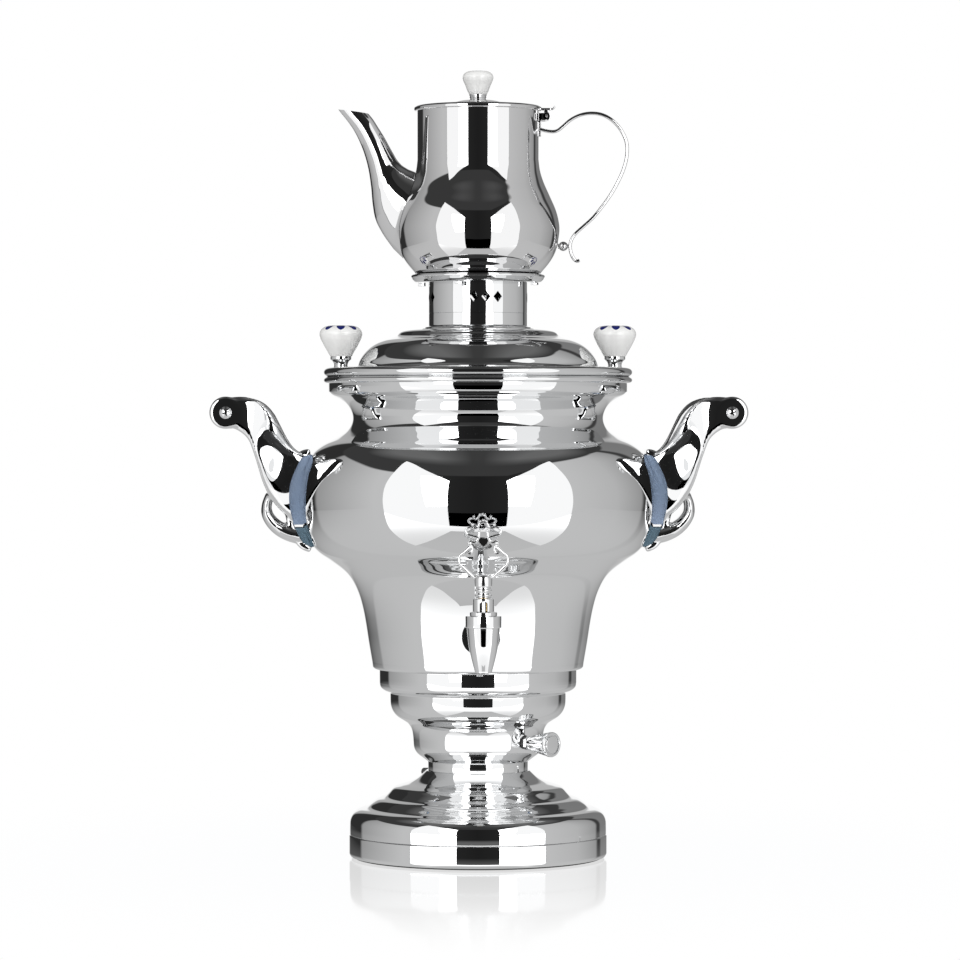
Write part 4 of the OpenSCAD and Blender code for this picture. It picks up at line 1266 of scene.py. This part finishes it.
@dataclass
class Handle:
    """One side handle: gasket, casting and grip; GripScrews makes its screws."""

    side: Side
    lug_x: float = 162.5
    lug_z: float = 288.8
    lug_r: float = 10.5
    lug_y: float = 33.0
    arm_t: float = 7.0
    grip_r: float = 9.0
    foot_y: float = 11.2
    lean_end: float = 0.86
    lean_power: float = 2.2
    saddle_t: float = 6.6
    saddle_thinning: float = 3.6
    saddle_half: float = 14.0
    saddle_widening: float = 3.0
    cell: float = 0.7
    cast_rounds: int = 14
    foot_depth: float = 4.0
    foot_half: float = 13.0
    seat_back: Path = ((90.0, 261.6), (90.0, 194.0), (99.6, 194.0))
    wall_z: Pair = (194.0, 270.0)
    wall_gap: float = 0.02
    wall_near: float = 0.3
    pad_back: float = 95.0
    pad_taper: float = 0.84
    pad_parts: Sequence[Triple] = ((216.0, 262.0, 12.4), (201.0, 216.0, 11.6))
    pad_line: Path = (
        (107.6, 202.0), (112.6, 204.2), (117.8, 212.6), (120.9, 222.5), (122.4, 234.0),
        (121.4, 243.5), (118.0, 252.4), (112.4, 261.0), (108.4, 261.6))
    arm_top: Path = (
        (100.0, 257.0), (112.0, 261.4), (119.0, 265.6), (124.6, 273.3), (128.6, 281.0),
        (133.4, 289.4), (140.0, 295.8), (148.0, 298.8), (156.0, 299.2), (162.5, 297.8))
    arm_low: Path = (
        (100.0, 215.0), (118.3, 218.6), (127.5, 225.0), (134.4, 233.4), (138.9, 242.6),
        (142.0, 253.0), (144.6, 262.0), (149.0, 272.6), (155.4, 277.6), (162.5, 279.8))
    saddle_line: Path = (
        (104.0, 201.8), (113.0, 203.0), (122.6, 205.0), (131.0, 209.2), (137.4, 215.6),
        (140.8, 223.0), (140.4, 230.4), (137.6, 237.6))

    def name(self, what: str) -> str:
        """Name of a piece on this side."""
        return f"{what}_{self.side.word}"

    def build(self) -> None:
        """Makes the gasket, the casting and the grip."""
        self.gasket()
        self.casting()
        self.grip()

    def pad_block(self, low: float, high: float, half: float) -> Solid:
        """The gasket between two heights, from the casting to inside the tank."""
        line = [(x, z) for x, z in smooth(self.pad_line, 5) if low <= z <= high]
        back = [(self.pad_back, line[-1][1]), (self.pad_back, line[0][1])]
        return Solid().prism([*line, *back], -half, half, _turn(90, "X"))

    def tank_at(self, wall: Path, z: float) -> float:
        """Radius of the tank's wall at its point nearest to a height."""
        return min(wall, key=lambda point: abs(point[1] - z))[0]

    def gasket(self) -> None:
        """Rubber pad between casting and tank, with a lower end set back a little."""
        solid = Solid()
        low_z, high_z = self.wall_z
        wall = [(r + self.wall_gap, z) for r, z in Tank().outer() if low_z < z < high_z]
        section = [(0, wall[0][1]), *wall, (0, wall[-1][1])]
        for low, high, half in self.pad_parts:
            part = self.pad_block(low, high, half)
            part.combine(Solid().turned(section, closed=False, steps=360), Join.CUT)
            solid.add(part)
        for vert in solid.bm.verts:
            gap = math.hypot(vert.co.x, vert.co.y) - self.tank_at(wall, vert.co.z)
            if abs(gap) < self.wall_near:
                vert.co.y *= self.pad_taper
        solid.mirror(self.side)
        place_piece(solid, self.name("gasket_pad"), Body.SAMOVAR, Slot.GASKET,
                    [self.name("handle_gasket")], 40.0)

    def arm(self, solid: Solid, s: int) -> None:
        """Adds one arm; s is its side in Y, and it leans outwards as it rises."""
        top, low = smooth(self.arm_top, 5), smooth(self.arm_low, 5)
        last = len(top) - 1
        rings = []
        for i, (a, b) in enumerate(zip(top, low)):
            share = min(1.0, i / last / self.lean_end)
            lean = math.sin(math.pi / 2 * share) ** self.lean_power
            y = s * (self.foot_y + (self.lug_y - self.foot_y) * lean)
            centre = Vector(((a[0] + b[0]) / 2, y, (a[1] + b[1]) / 2))
            half = Vector(((b[0] - a[0]) / 2, 0, (b[1] - a[1]) / 2))
            rings.append(oval(centre, half, Vector((0, self.arm_t / 2, 0)), 40, 0.7))
        solid.lofted(rings)

    def saddle(self, solid: Solid) -> None:
        """Adds the rounded underside between the arms."""
        path = [Vector((x, 0, z)) for x, z in smooth(self.saddle_line, 5)]
        rings = []
        for i, point in enumerate(path):
            share = i / (len(path) - 1)
            d = along(path, i)
            inwards = Vector((-d.z, 0, d.x)) * (self.saddle_t - self.saddle_thinning * share)
            across = Vector((0, self.saddle_half + self.saddle_widening * share, 0))
            rings.append(oval(point + inwards, -inwards, across, 48, 0.8))
        solid.lofted(rings)

    def casting(self) -> None:
        """Both arms, lugs, saddle and foot melted into one bracket."""
        solid = Solid()
        upright = _turn(90, "X")
        for s in (-1, 1):
            self.arm(solid, s)
            place = _front(self.lug_x, s * self.lug_y + self.arm_t / 2, self.lug_z)
            solid.rod(self.lug_r, 0, self.arm_t, place, edge=1.2, steps=96)
        self.saddle(solid)
        pad = smooth(self.pad_line, 5)
        foot = [*pad, *beside(pad, -self.foot_depth)[::-1]]
        solid.prism(foot, -self.foot_half, self.foot_half, upright)
        solid.cast(self.cell, self.cast_rounds)
        half = self.lug_y + 20
        seat = Solid().prism([*pad, *self.seat_back], -half, half, upright)
        solid.combine(seat, Join.CUT)
        solid.mirror(self.side)
        place_piece(solid, self.name("handle_casting"), Body.SAMOVAR, Slot.CASTING,
                    [self.name("handle_bracket")], 50.0)

    def grip(self) -> None:
        """Slightly barrelled grip between the lugs."""
        half = self.lug_y - self.arm_t / 2
        line = smooth([(self.grip_r - 2, -half), (self.grip_r - 0.6, -half * 0.6),
                       (self.grip_r, 0), (self.grip_r - 0.6, half * 0.6), (self.grip_r - 2, half)])
        outline = eased([(0, -half), *line, (0, half)], 0.5, closed=False)
        place = _front(self.side.value * self.lug_x, 0, self.lug_z)
        solid = Solid().turned(outline, place, closed=False, steps=96)
        place_piece(solid, self.name("grip_barrel"), Body.SAMOVAR, Slot.CASTING,
                    [self.name("handle_grip")])


@dataclass
class GripScrews:
    """Domed cross-head screws through the four lugs."""

    lug_x: float = Handle.lug_x
    lug_z: float = Handle.lug_z
    face: float = Handle.lug_y + Handle.arm_t / 2
    shank_r: float = 2.2
    slot_half: float = 2.1
    slot_t: float = 0.42

    def build(self) -> None:
        """Makes the four screws as one piece."""
        solid = Solid()
        for side in Side:
            for s in (-1, 1):
                solid.add(self.screw(side, s))
        place_piece(solid, "grip_cross_screws", Body.SAMOVAR, Slot.CASTING,
                    ["grip_screws"])

    def screw(self, side: Side, s: int) -> Solid:
        """One screw on a side in X and in Y."""
        head = arc((0, self.face - 3.2), 5.1, 39, 90, 10)
        outline = [(0, self.face - 12.5), (self.shank_r, self.face - 12.5),
                   (self.shank_r, self.face), *head]
        solid = Solid().turned(outline, closed=False, steps=48)
        for turn in (0, 90):
            slot = Solid().block((-self.slot_half, -self.slot_t, self.face + 0.6),
                                 (self.slot_half, self.slot_t, self.face + 4),
                                 place=_turn(turn + 20 * s, "Z"))
            solid.combine(slot, Join.CUT)
        solid.move(_move(side.value * self.lug_x, 0, self.lug_z) @ _turn(s * 90, "X"))
        return solid


@dataclass
class Tap:
    """Plug tap with its bonnet and openwork key."""

    y: float = 130.0
    inlet_z: float = 147.0
    barrel_top: float = 163.0
    flange_y: float = 74.6
    tube_r: float = 6.5
    foot_z: float = 174.0
    wire: float = 0.95
    crown_wire: float = 0.78
    cones: Sequence[Path] = (((4.4, 11.4), (12.9, 19.0)), ((13.6, 26.8), (8.0, 31.2)))
    cone_radii: Path = ((0.7, 1.8), (0.85, 1.8))
    hoop: Path = ((12.2, 18.4), (14.4, 20.4), (15.1, 23.3), (14.7, 25.6), (13.4, 27.1))
    hook: Path = ((7.9, 32.4), (6.9, 30.4), (7.3, 28.2), (9.2, 27.2))
    scroll: Path = ((8.0, 31.4), (8.9, 33.4), (8.0, 34.8), (6.2, 34.2), (4.3, 35.0),
                    (3.0, 37.6), (2.5, 41.0))
    crown: Path = (
        (3.0, 37.2), (6.6, 38.3), (10.2, 39.6), (11.0, 41.4), (9.8, 43.0), (7.2, 43.9),
        (5.4, 43.0), (3.6, 43.7), (2.2, 46.0), (0.0, 47.0))
    beads: Sequence[Triple] = (
        (8.4, 33.9, 1.55), (2.4, 41.6, 0.95), (6.7, 45.4, 0.95), (2.0, 47.4, 0.8))
    tip: Triple = (0.0, 48.0, 0.85)
    heart: Path = ((0.0, 31.8), (2.3, 33.7), (3.0, 35.8), (1.9, 37.3), (0.0, 36.6))

    def at(self) -> Matrix:
        """Place of the tap's turning axis."""
        return _move(0, -self.y, 0)

    def inlet(self, radius: float, y0: float, y1: float, edge: float = 0.0) -> Solid:
        """Cylinder along Y at the inlet's height."""
        return Solid().rod(radius, y0, y1, _front(0, 0, self.inlet_z), edge, 96)

    def build(self) -> None:
        """Makes body, bonnet and key."""
        self.barrel()
        self.bonnet()
        self.key()

    def barrel(self) -> None:
        """Tapered barrel with its collar, the inlet tube and the flange."""
        line = [(5.2, 127.6), *smooth([(5.25, 128.2), (6.8, 133.8), (8.65, 141.7), (10.25, 155.4)]),
                (10.25, 155.5), (11.25, 155.6), (11.25, self.barrel_top), (7.0, self.barrel_top),
                (7.0, 140.0), (4.1, 138.0), (4.1, 127.6)]
        solid = Solid().turned(eased(line, 0.5), self.at(), steps=128)
        flange = self.flange_y
        for rod in ((self.tube_r, 62.0, self.y - 8.5), (12.4, flange, flange + 3, 0.6),
                    (7.6, flange + 2.5, flange + 6, 0.6)):
            solid.combine(self.inlet(*rod), Join.FUSE)
        place_piece(solid, "tap_barrel", Body.SAMOVAR, Slot.CASTING, ["tap_body"])

    def bonnet(self) -> None:
        """Cap over the plug with its arched window in front."""
        top = self.foot_z
        line = [(5.0, self.barrel_top), (8.55, self.barrel_top), (8.55, 165.3), (6.9, 165.5),
                (6.7, 166.0), (6.7, 173.4), (6.1, top), (3.7, top), (3.7, 172.0), (5.0, 172.0)]
        solid = Solid().turned(eased(line, 0.35), self.at(), steps=96)
        place = _front(0, -self.y - 3.0, 0)
        solid.combine(Solid().prism(arch(2.4, 165.6, 172.4), 0.0, 6.0, place), Join.CUT)
        place_piece(solid, "bonnet_cap", Body.SAMOVAR, Slot.CASTING, ["tap_bonnet"])

    def wire_bar(self, solid: Solid, points: Path, radii: Path) -> None:
        """Adds a round wire on both sides.

        Args:
            solid: Solid that takes the wire.
            points: Right half as (x, height above the hub's foot).
            radii: (share of the length, radius) pairs.
        """
        path = smooth(points, 5)
        thick = []
        for i in range(len(path)):
            share = i / (len(path) - 1)
            k = max(j for j in range(len(radii) - 1) if radii[j][0] <= share)
            (start, thin), (end, wide) = radii[k], radii[k + 1]
            thick.append(thin + (wide - thin) * (share - start) / (end - start))
        for side in Side:
            mirrored = [(side.value * x, z + self.foot_z) for x, z in path]
            solid.lofted(bar_rings(mirrored, thick, thick, 24), self.at())

    def key(self) -> None:
        """Turned hub with beads, and the wires of the openwork."""
        hub = smooth([(5.45, 7.4), (5.6, 10.0), (5.5, 12.4), (4.9, 13.7), (3.6, 14.2)], 6)
        line = lifted([(3.6, 0.2), (4.9, 0.2), *arc((4.6, 1.7), 0.95, -60, 60, 8), (4.5, 3.2),
                       *arc((4.4, 4.8), 0.95, -60, 60, 8), (4.6, 6.6), (5.3, 7.1), *hub],
                      self.foot_z)
        axis = lifted([(0, 14.4), (0, 0.2)], self.foot_z)
        solid = Solid().turned([*eased(line, 0.15, closed=False), *axis], self.at(), steps=96)
        for ends, (thin, thick) in zip(self.cones, self.cone_radii):
            self.wire_bar(solid, ends, ((0.0, thin), (1.0, thick)))
        for points in (self.hoop, self.hook, self.scroll):
            self.wire_bar(solid, points, ((0.0, self.wire), (1.0, self.wire)))
        self.wire_bar(solid, self.crown, ((0.0, self.wire), (0.4, self.crown_wire),
                                          (1.0, self.crown_wire)))
        for x, z, radius in self.beads:
            for side in Side:
                solid.ball((side.value * x, -self.y, self.foot_z + z), radius)
        x, z, radius = self.tip
        solid.ball((x, -self.y, self.foot_z + z), radius)
        heart = [*self.heart, *[(-x, z) for x, z in self.heart[-2:0:-1]]]
        solid.prism(heart, -0.6, 0.6, _front(0, -self.y, self.foot_z))
        place_piece(solid, "key_openwork", Body.TAP, Slot.CASTING, ["tap_key"])


def ceramic_outline(r: float, z0: float, h: float, foot: float = 0.51) -> list[Pair]:
    """Outline of a ceramic knob from its foot, a share of r wide, to the middle of its top."""
    shares = [(foot, 0), (foot + 0.11, 0.14), (0.83, 0.40), (0.97, 0.62), (1, 0.71),
              (0.95, 0.84), (0.78, 0.95), (0.45, 1), (0.2, 1), (0, 1)]
    return lifted([(0, 0), *smooth([(x * r, z * h) for x, z in shares])], z0)


def ferrule_outline(r: float, z0: float, h: float, waist: float = 0.64) -> list[Pair]:
    """Outline of the metal foot under a ceramic knob, its waist a share of r wide."""
    line = smooth([((waist + 0.04) * r, 0), (waist * r, 0.22 * h),
                   (0.9 * waist * r + 0.164 * r, 0.5 * h), (0.93 * r, 0.68 * h)])
    rim = [(r, 0.72 * h), (r, h), (0, h)]
    return lifted([(0, 0), *eased([*line, *rim], 0.3, closed=False)], z0)


@dataclass
class Lid:
    """Domed tank lid with its steam tube and two ceramic knobs."""

    wall: float = 1.0
    mouth_r: float = Tank.mouth_r
    rim_z: float = Tank.rim_z
    tube_r: float = 32.0
    tube_z: float = 342.4
    tube_top: float = 353.3
    knob_x: float = 89.0
    knob_r: float = 13.9
    knob_z: float = 325.5
    dome_line: Path = (
        (80.4, 318.0), (78.7, 319.0), (77.0, 323.0), (73.3, 328.3), (68.8, 332.4),
        (62.6, 335.6), (56.5, 337.2), (53.0, 338.6), (50.8, 341.0), (47.4, 342.2), (40.0, 342.4))

    def build(self) -> None:
        """Makes the dome, the tube and the knobs."""
        self.dome()
        self.tube()
        for side in Side:
            self.knob(side)
        self.ferrules()

    def dome(self) -> None:
        """Dome with its rolled rim."""
        flange = self.rim_z + 6
        bead_r = 3.0
        bead = arc((self.mouth_r + 0.3, flange - bead_r), bead_r, -80, 90, 24)
        line = [(self.mouth_r - 0.5, flange), *faired(smooth(self.dome_line), 0.5, 5),
                (self.tube_r - 1.2, self.tube_z)]
        section = [*bead, *line, *beside(line, self.wall)[::-1], (self.mouth_r - 0.8, self.rim_z)]
        solid = Solid().turned(section)
        place_piece(solid, "lid_dome", Body.LID, Slot.SHEET, ["lid_shell"], 40.0)

    def tube(self) -> None:
        """Short steam tube with a stepped foot."""
        r, z = self.tube_r, self.tube_z
        outline = [(r - 1.2, z), (r + 4.6, z), (r + 4.4, z + 0.9), (r + 2.6, z + 1.1),
                   (r + 2.4, z + 1.9), (r + 0.8, z + 2.2), (r, z + 3), (r, self.tube_top),
                   (r - 1.2, self.tube_top)]
        solid = Solid().turned(eased(outline, 0.3), steps=128)
        place_piece(solid, "steam_tube", Body.LID, Slot.SHEET, ["lid_tube"])

    def knob(self, side: Side) -> None:
        """Ceramic knob on one side."""
        name = f"lid_knob_{side.word}"
        solid = Solid().turned(ceramic_outline(self.knob_r, self.knob_z, 20.0),
                               _move(side.value * self.knob_x, 0, 0), closed=False, steps=96)
        place_piece(solid, f"{name}_glazed", Body.LID, Slot.GLAZE, [name], 60.0, LID_GLAZE[side])

    def ferrules(self) -> None:
        """Metal feet of both knobs."""
        solid = Solid()
        foot = self.rim_z + 6
        for side in Side:
            solid.turned(ferrule_outline(6.8, foot, self.knob_z - foot),
                         _move(side.value * self.knob_x, 0, 0), closed=False, steps=64)
        place_piece(solid, "knob_ferrules", Body.LID, Slot.CASTING, ["lid_ferrules"])


@dataclass
class Stand:
    """Steam tube with diamond vents and the saucer that carries the teapot."""

    tube_r: float = Lid.tube_r
    foot_z: float = Lid.tube_top
    saucer_z: float = 373.0
    vent_z: float = 363.5
    vent_w: float = 6.0
    vent_h: float = 7.4
    groups: int = 4
    vent_turn: float = 8.0
    vent_step: float = 14.0
    clips: int = 4

    def build(self) -> None:
        """Makes the tube and the saucer."""
        self.tube()
        self.saucer()

    def tube(self) -> None:
        """Outer tube with its sleeve and vents."""
        r, z = self.tube_r, self.foot_z
        outline = [(r - 2.5, z - 8), (r - 1.5, z - 8), (r - 1.5, z), (r, z), (r, self.saucer_z),
                   (r - 1.2, self.saucer_z), (r - 1.2, z + 1.2), (r - 2.5, z + 1.2)]
        solid = Solid().turned(eased(outline, 0.2), steps=180)
        w, h = self.vent_w / 2, self.vent_h / 2
        vents = Solid()
        for g in range(self.groups):
            for k in (-1, 0, 1):
                turn = g * 360 / self.groups + self.vent_turn + self.vent_step * k
                place = _turn(turn, "Z") @ _front(0, -r + 4, self.vent_z)
                vents.prism([(-w, 0), (0, -h), (w, 0), (0, h)], 0.0, 8.0, place)
        solid.combine(vents, Join.CUT)
        place_piece(solid, "vented_tube", Body.STAND, Slot.SHEET, ["stand_tube"])

    def saucer(self) -> None:
        """Shallow saucer with a rolled rim and four clips under it."""
        z = self.saucer_z
        rim = smooth([(38.5, z), (41.0, z + 0.5), (42.6, z + 2.0)])
        outline = [(22.0, z), *rim, *arc((42.4, z + 4.2), 1.2, -50, 190, 20), (41.0, z + 3.2),
                   (39.8, z + 1.9), (38.0, z + 1.2), (22.0, z + 1.2)]
        solid = Solid().turned(outline)
        for i in range(self.clips):
            solid.block((36.6, -2.0, z - 1.6), (40.6, 2.0, z + 0.1), 0.25,
                        _turn(i * 360 / self.clips - 20, "Z"))
        place_piece(solid, "saucer_disc", Body.STAND, Slot.SHEET, ["stand_saucer"], 40.0)


@dataclass
class Teapot:
    """Bellied teapot with its spout, strap handle and hinged lid."""

    wall: float = 0.8
    floor_z: float = 374.2
    rim_z: float = 484.3
    neck_r: float = 39.5
    lid_r: float = 41.6
    hinge_x: float = 44.3
    hinge_z: float = 481.0
    knob_z: float = 495.4
    stud_z: float = 397.0
    hole_r: float = 1.8
    hole_rows: Sequence[float] = (402, 412, 422)
    hole_columns: Sequence[float] = (-7, 0, 7)
    line: Path = (
        (39.0, 376.4), (41.4, 379.8), (44.2, 383.0), (47.9, 388.0), (50.6, 393.3), (52.4, 401.0),
        (53.2, 408.6), (52.5, 414.0), (51.1, 419.4), (46.7, 429.7), (42.2, 440.0), (40.4, 446.0),
        (39.5, 453.0))
    spout_low: Path = (
        (-48.5, 388.7), (-55.0, 395.2), (-61.9, 405.0), (-66.6, 414.5), (-68.4, 424.0),
        (-69.4, 435.0), (-71.6, 449.0), (-75.3, 461.0), (-80.7, 472.2), (-90.6, 485.4))
    spout_top: Path = (
        (-41.1, 445.1), (-45.2, 446.8), (-49.3, 449.4), (-52.4, 452.8), (-54.9, 457.0),
        (-57.6, 461.8), (-61.0, 468.0), (-64.8, 474.0), (-68.1, 479.2), (-70.9, 482.7))
    spout_half: Sequence[float] = (15.5, 14.4, 12.6, 11.0, 9.8, 8.9, 7.9, 7.1, 6.4, 5.6)
    strap_line: Path = (
        (39.7, 472.9), (46.0, 471.4), (50.8, 471.4), (54.6, 474.2), (59.7, 478.7), (65.5, 481.8),
        (73.3, 483.3), (81.1, 482.2), (88.2, 477.8), (93.5, 471.4), (96.6, 463.8), (96.7, 456.0),
        (94.8, 447.8), (91.3, 439.6), (86.4, 430.8), (80.8, 423.0), (74.6, 415.4), (68.1, 409.5),
        (62.8, 404.6), (60.2, 400.4), (59.7, 396.0), (60.6, 391.8), (62.6, 388.0), (64.6, 386.6),
        (65.8, 387.8))

    def build(self) -> None:
        """Makes every piece of the teapot."""
        self.body()
        self.spout()
        self.handle()
        self.hinge()
        self.lid()
        self.lid_tab()
        self.lid_knob()

    def wall_line(self) -> list[Pair]:
        """Outer outline of the body."""
        foot = [(34.5, self.floor_z + 2), (36.0, self.floor_z), (37.6, self.floor_z),
                (38.5, self.floor_z + 0.6)]
        return [*foot, *faired(smooth(self.line), 0.6, 10), (self.neck_r, self.rim_z)]

    def wall_at(self, z: float) -> float:
        """Radius of the body's wall at a height."""
        line = self.wall_line()
        for (r0, z0), (r1, z1) in zip(line, line[1:]):
            if z0 <= z <= z1 and z1 > z0:
                return r0 + (r1 - r0) * (z - z0) / (z1 - z0)
        return self.neck_r

    def body(self) -> None:
        """Body with the strainer holes behind the spout."""
        outline = [(0, self.floor_z + 2), *self.wall_line()]
        inner = beside(outline, self.wall)
        inner[0] = (0, inner[0][1])
        solid = Solid().turned([*outline, *inner[::-1]], closed=False)
        holes = Solid()
        for z in self.hole_rows:
            for y in self.hole_columns:
                holes.rod(self.hole_r, 0, 20, _move(-60, y, z) @ _turn(90, "Y"), steps=24)
        solid.combine(holes, Join.CUT)
        place_piece(solid, "pot_belly", Body.POT, Slot.POT, ["pot_body"], 40.0)

    def root_ring(self, inset: float, count: int) -> list[Vector]:
        """Ring of the spout on the body's wall, drawn in by inset."""
        (_, z0), (_, z1) = self.spout_low[0], self.spout_top[0]
        ring = []
        for k in range(count):
            turn = FULL_TURN * k / count
            z = (z0 + z1) / 2 - ((z1 - z0) / 2 - inset) * math.cos(turn)
            y = (self.spout_half[0] - inset) * math.sin(turn)
            ring.append(Vector((-math.sqrt((self.wall_at(z) + 0.12) ** 2 - y * y), y, z)))
        return ring

    def spout_rings(self, inset: float, count: int) -> list[list[Vector]]:
        """Rings of the spout from beside the root to the mouth."""
        low = smooth(self.spout_low[1:], 6)
        top = smooth(self.spout_top[1:], 6)
        half = smooth([(i, h) for i, h in enumerate(self.spout_half[1:])], 6)
        rings = []
        for a, b, (_, h) in zip(low, top, half):
            centre = Vector(((a[0] + b[0]) / 2, 0, (a[1] + b[1]) / 2))
            u = Vector(((a[0] - b[0]) / 2, 0, (a[1] - b[1]) / 2))
            u *= (u.length - inset) / u.length
            rings.append(oval(centre, u, Vector((0, h - inset, 0)), count))
        return rings

    def spout(self) -> None:
        """Curved spout, open at its mouth."""
        count = 64
        outer = [self.root_ring(0, count), *self.spout_rings(0, count)]
        inner = [self.root_ring(self.wall, count), *self.spout_rings(self.wall, count)]
        solid = Solid().lofted([*outer, *inner[::-1]], joined=True)
        place_piece(solid, "pot_spout_shell", Body.POT, Slot.POT, ["pot_spout"], 50.0)

    def handle(self) -> None:
        """Strap handle, its plate on the collar and the ball at its lower end."""
        path = faired(smooth(self.strap_line, 5), 1.2, 3)
        solid = Solid().lofted(strap_rings(path, 4.5, 1.15, 24))
        solid.block((self.neck_r - 0.2, -4.0, 468.0), (self.neck_r + 1.4, 4.0, 478.2), 0.3)
        place_piece(solid, "pot_strap", Body.POT, Slot.POT, ["pot_handle"], 50.0)
        stud = Solid().ball((55.4, 0, self.stud_z), 3.1)
        for radius, low, high in ((1.6, 52.0, 55.0), (1.2, 55.4, 58.8)):
            stud.rod(radius, low, high, _move(0, 0, self.stud_z) @ _turn(90, "Y"), steps=32)
        place_piece(stud, "strap_stud", Body.POT, Slot.POT, ["pot_handle_stud"])

    def knuckle(self, solid: Solid, y0: float, y1: float) -> None:
        """Adds one barrel of the hinge."""
        solid.rod(2.7, -y1, -y0, _front(self.hinge_x, 0, self.hinge_z), 0.5, 48)

    def hinge(self) -> None:
        """Bracket on the collar with its two outer knuckles."""
        solid = Solid()
        ears = ((-6.5, -2.6), (2.6, 6.5))
        for y0, y1 in ears:
            self.knuckle(solid, y0, y1)
        for y0, y1 in ears:
            solid.block((self.neck_r - 0.6, y0, 478.3), (self.hinge_x, y1, 483.1), 0.3)
        solid.block((self.neck_r - 0.3, -6.5, 478.3), (41.4, 6.5, 483.1), 0.3)
        place_piece(solid, "hinge_ears", Body.POT, Slot.POT, ["pot_hinge_bracket"])

    def lid(self) -> None:
        """Low lid with a rolled edge and the ring that enters the collar."""
        edge, rim = self.lid_r, self.rim_z
        top = smooth([(edge - 1.3, 487.6), (35.0, 488.0), (26.0, 488.4), (20.0, 489.2),
                      (12.0, 491.2), (5.6, 492.0)])
        line = [(36.4, rim - 2.6), (37.2, rim - 2.6), (37.2, rim), (edge - 0.7, rim),
                (edge, rim + 0.7), (edge, 486.6), *top, (0, 492.0)]
        under = [(0, 491.2), *beside(top, self.wall)[::-1], (36.4, rim + 1.6)]
        solid = Solid().turned([*eased(line, 0.4, closed=False), *under], closed=True)
        place_piece(solid, "pot_lid_disc", Body.POT_LID, Slot.POT, ["pot_lid"], 40.0)

    def lid_tab(self) -> None:
        """Thumb plate with the middle knuckle."""
        solid = Solid().block((self.lid_r - 0.8, -5.0, 485.0), (47.4, 5.0, 486.4), 0.4)
        solid.block((42.9, -2.4, self.hinge_z), (45.7, 2.4, 485.6), 0.2)
        self.knuckle(solid, -2.4, 2.4)
        path = smooth([(46.2, 485.7), (48.6, 486.0), (49.9, 487.6)], 6)
        solid.lofted(strap_rings(path, 4.8, 0.65, 20))
        place_piece(solid, "pot_thumb_tab", Body.POT_LID, Slot.POT, ["pot_lid_tab"])

    def lid_knob(self) -> None:
        """Ceramic knob on its ferrule."""
        solid = Solid().turned(ceramic_outline(10.0, self.knob_z, 15.2, 0.57), closed=False,
                               steps=96)
        place_piece(solid, "pot_knob_glazed", Body.POT_LID, Slot.GLAZE,
                    ["pot_lid_knob"], 60.0)
        foot = Solid().turned(ferrule_outline(5.6, 492.0, self.knob_z - 492.0, 0.9),
                              closed=False, steps=64)
        place_piece(foot, "pot_knob_ferrule", Body.POT_LID, Slot.CASTING,
                    ["pot_lid_ferrule"])


@dataclass
class PlainNodes:
    """Nodes of the frame that are shown as they are, with a finish each."""

    frame: dict = field(repr=False)

    def build(self) -> None:
        """Dresses every node by its slot in the record."""
        parts = self.frame["record"]["subparts"]
        slots = {row["node"]: Slot(row["material_slot"]) for row in parts}
        for name, node in self.frame["nodes"].items():
            node.data.materials.clear()
            node.data.materials.append(SLOT_FINISH[slots[name]].material())
        log.info("%d nodes dressed", len(slots))


def main(frame: dict) -> None:
    """Builds the studio and every sub-assembly.

    Args:
        frame: The loaded frame.
    """
    logging.basicConfig(level=logging.INFO, format="%(name)s: %(message)s")
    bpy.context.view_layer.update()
    Studio().build()
    PlainNodes(frame).build()
    handles = [Handle(side) for side in Side]
    for assembly in (Base(), Housing(), Tank(), *handles, GripScrews(), Tap(), Lid(), Stand(),
                     Teapot()):
        log.info("building %s", type(assembly).__name__)
        assembly.build()


if __name__ == "__main__":
    main(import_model())
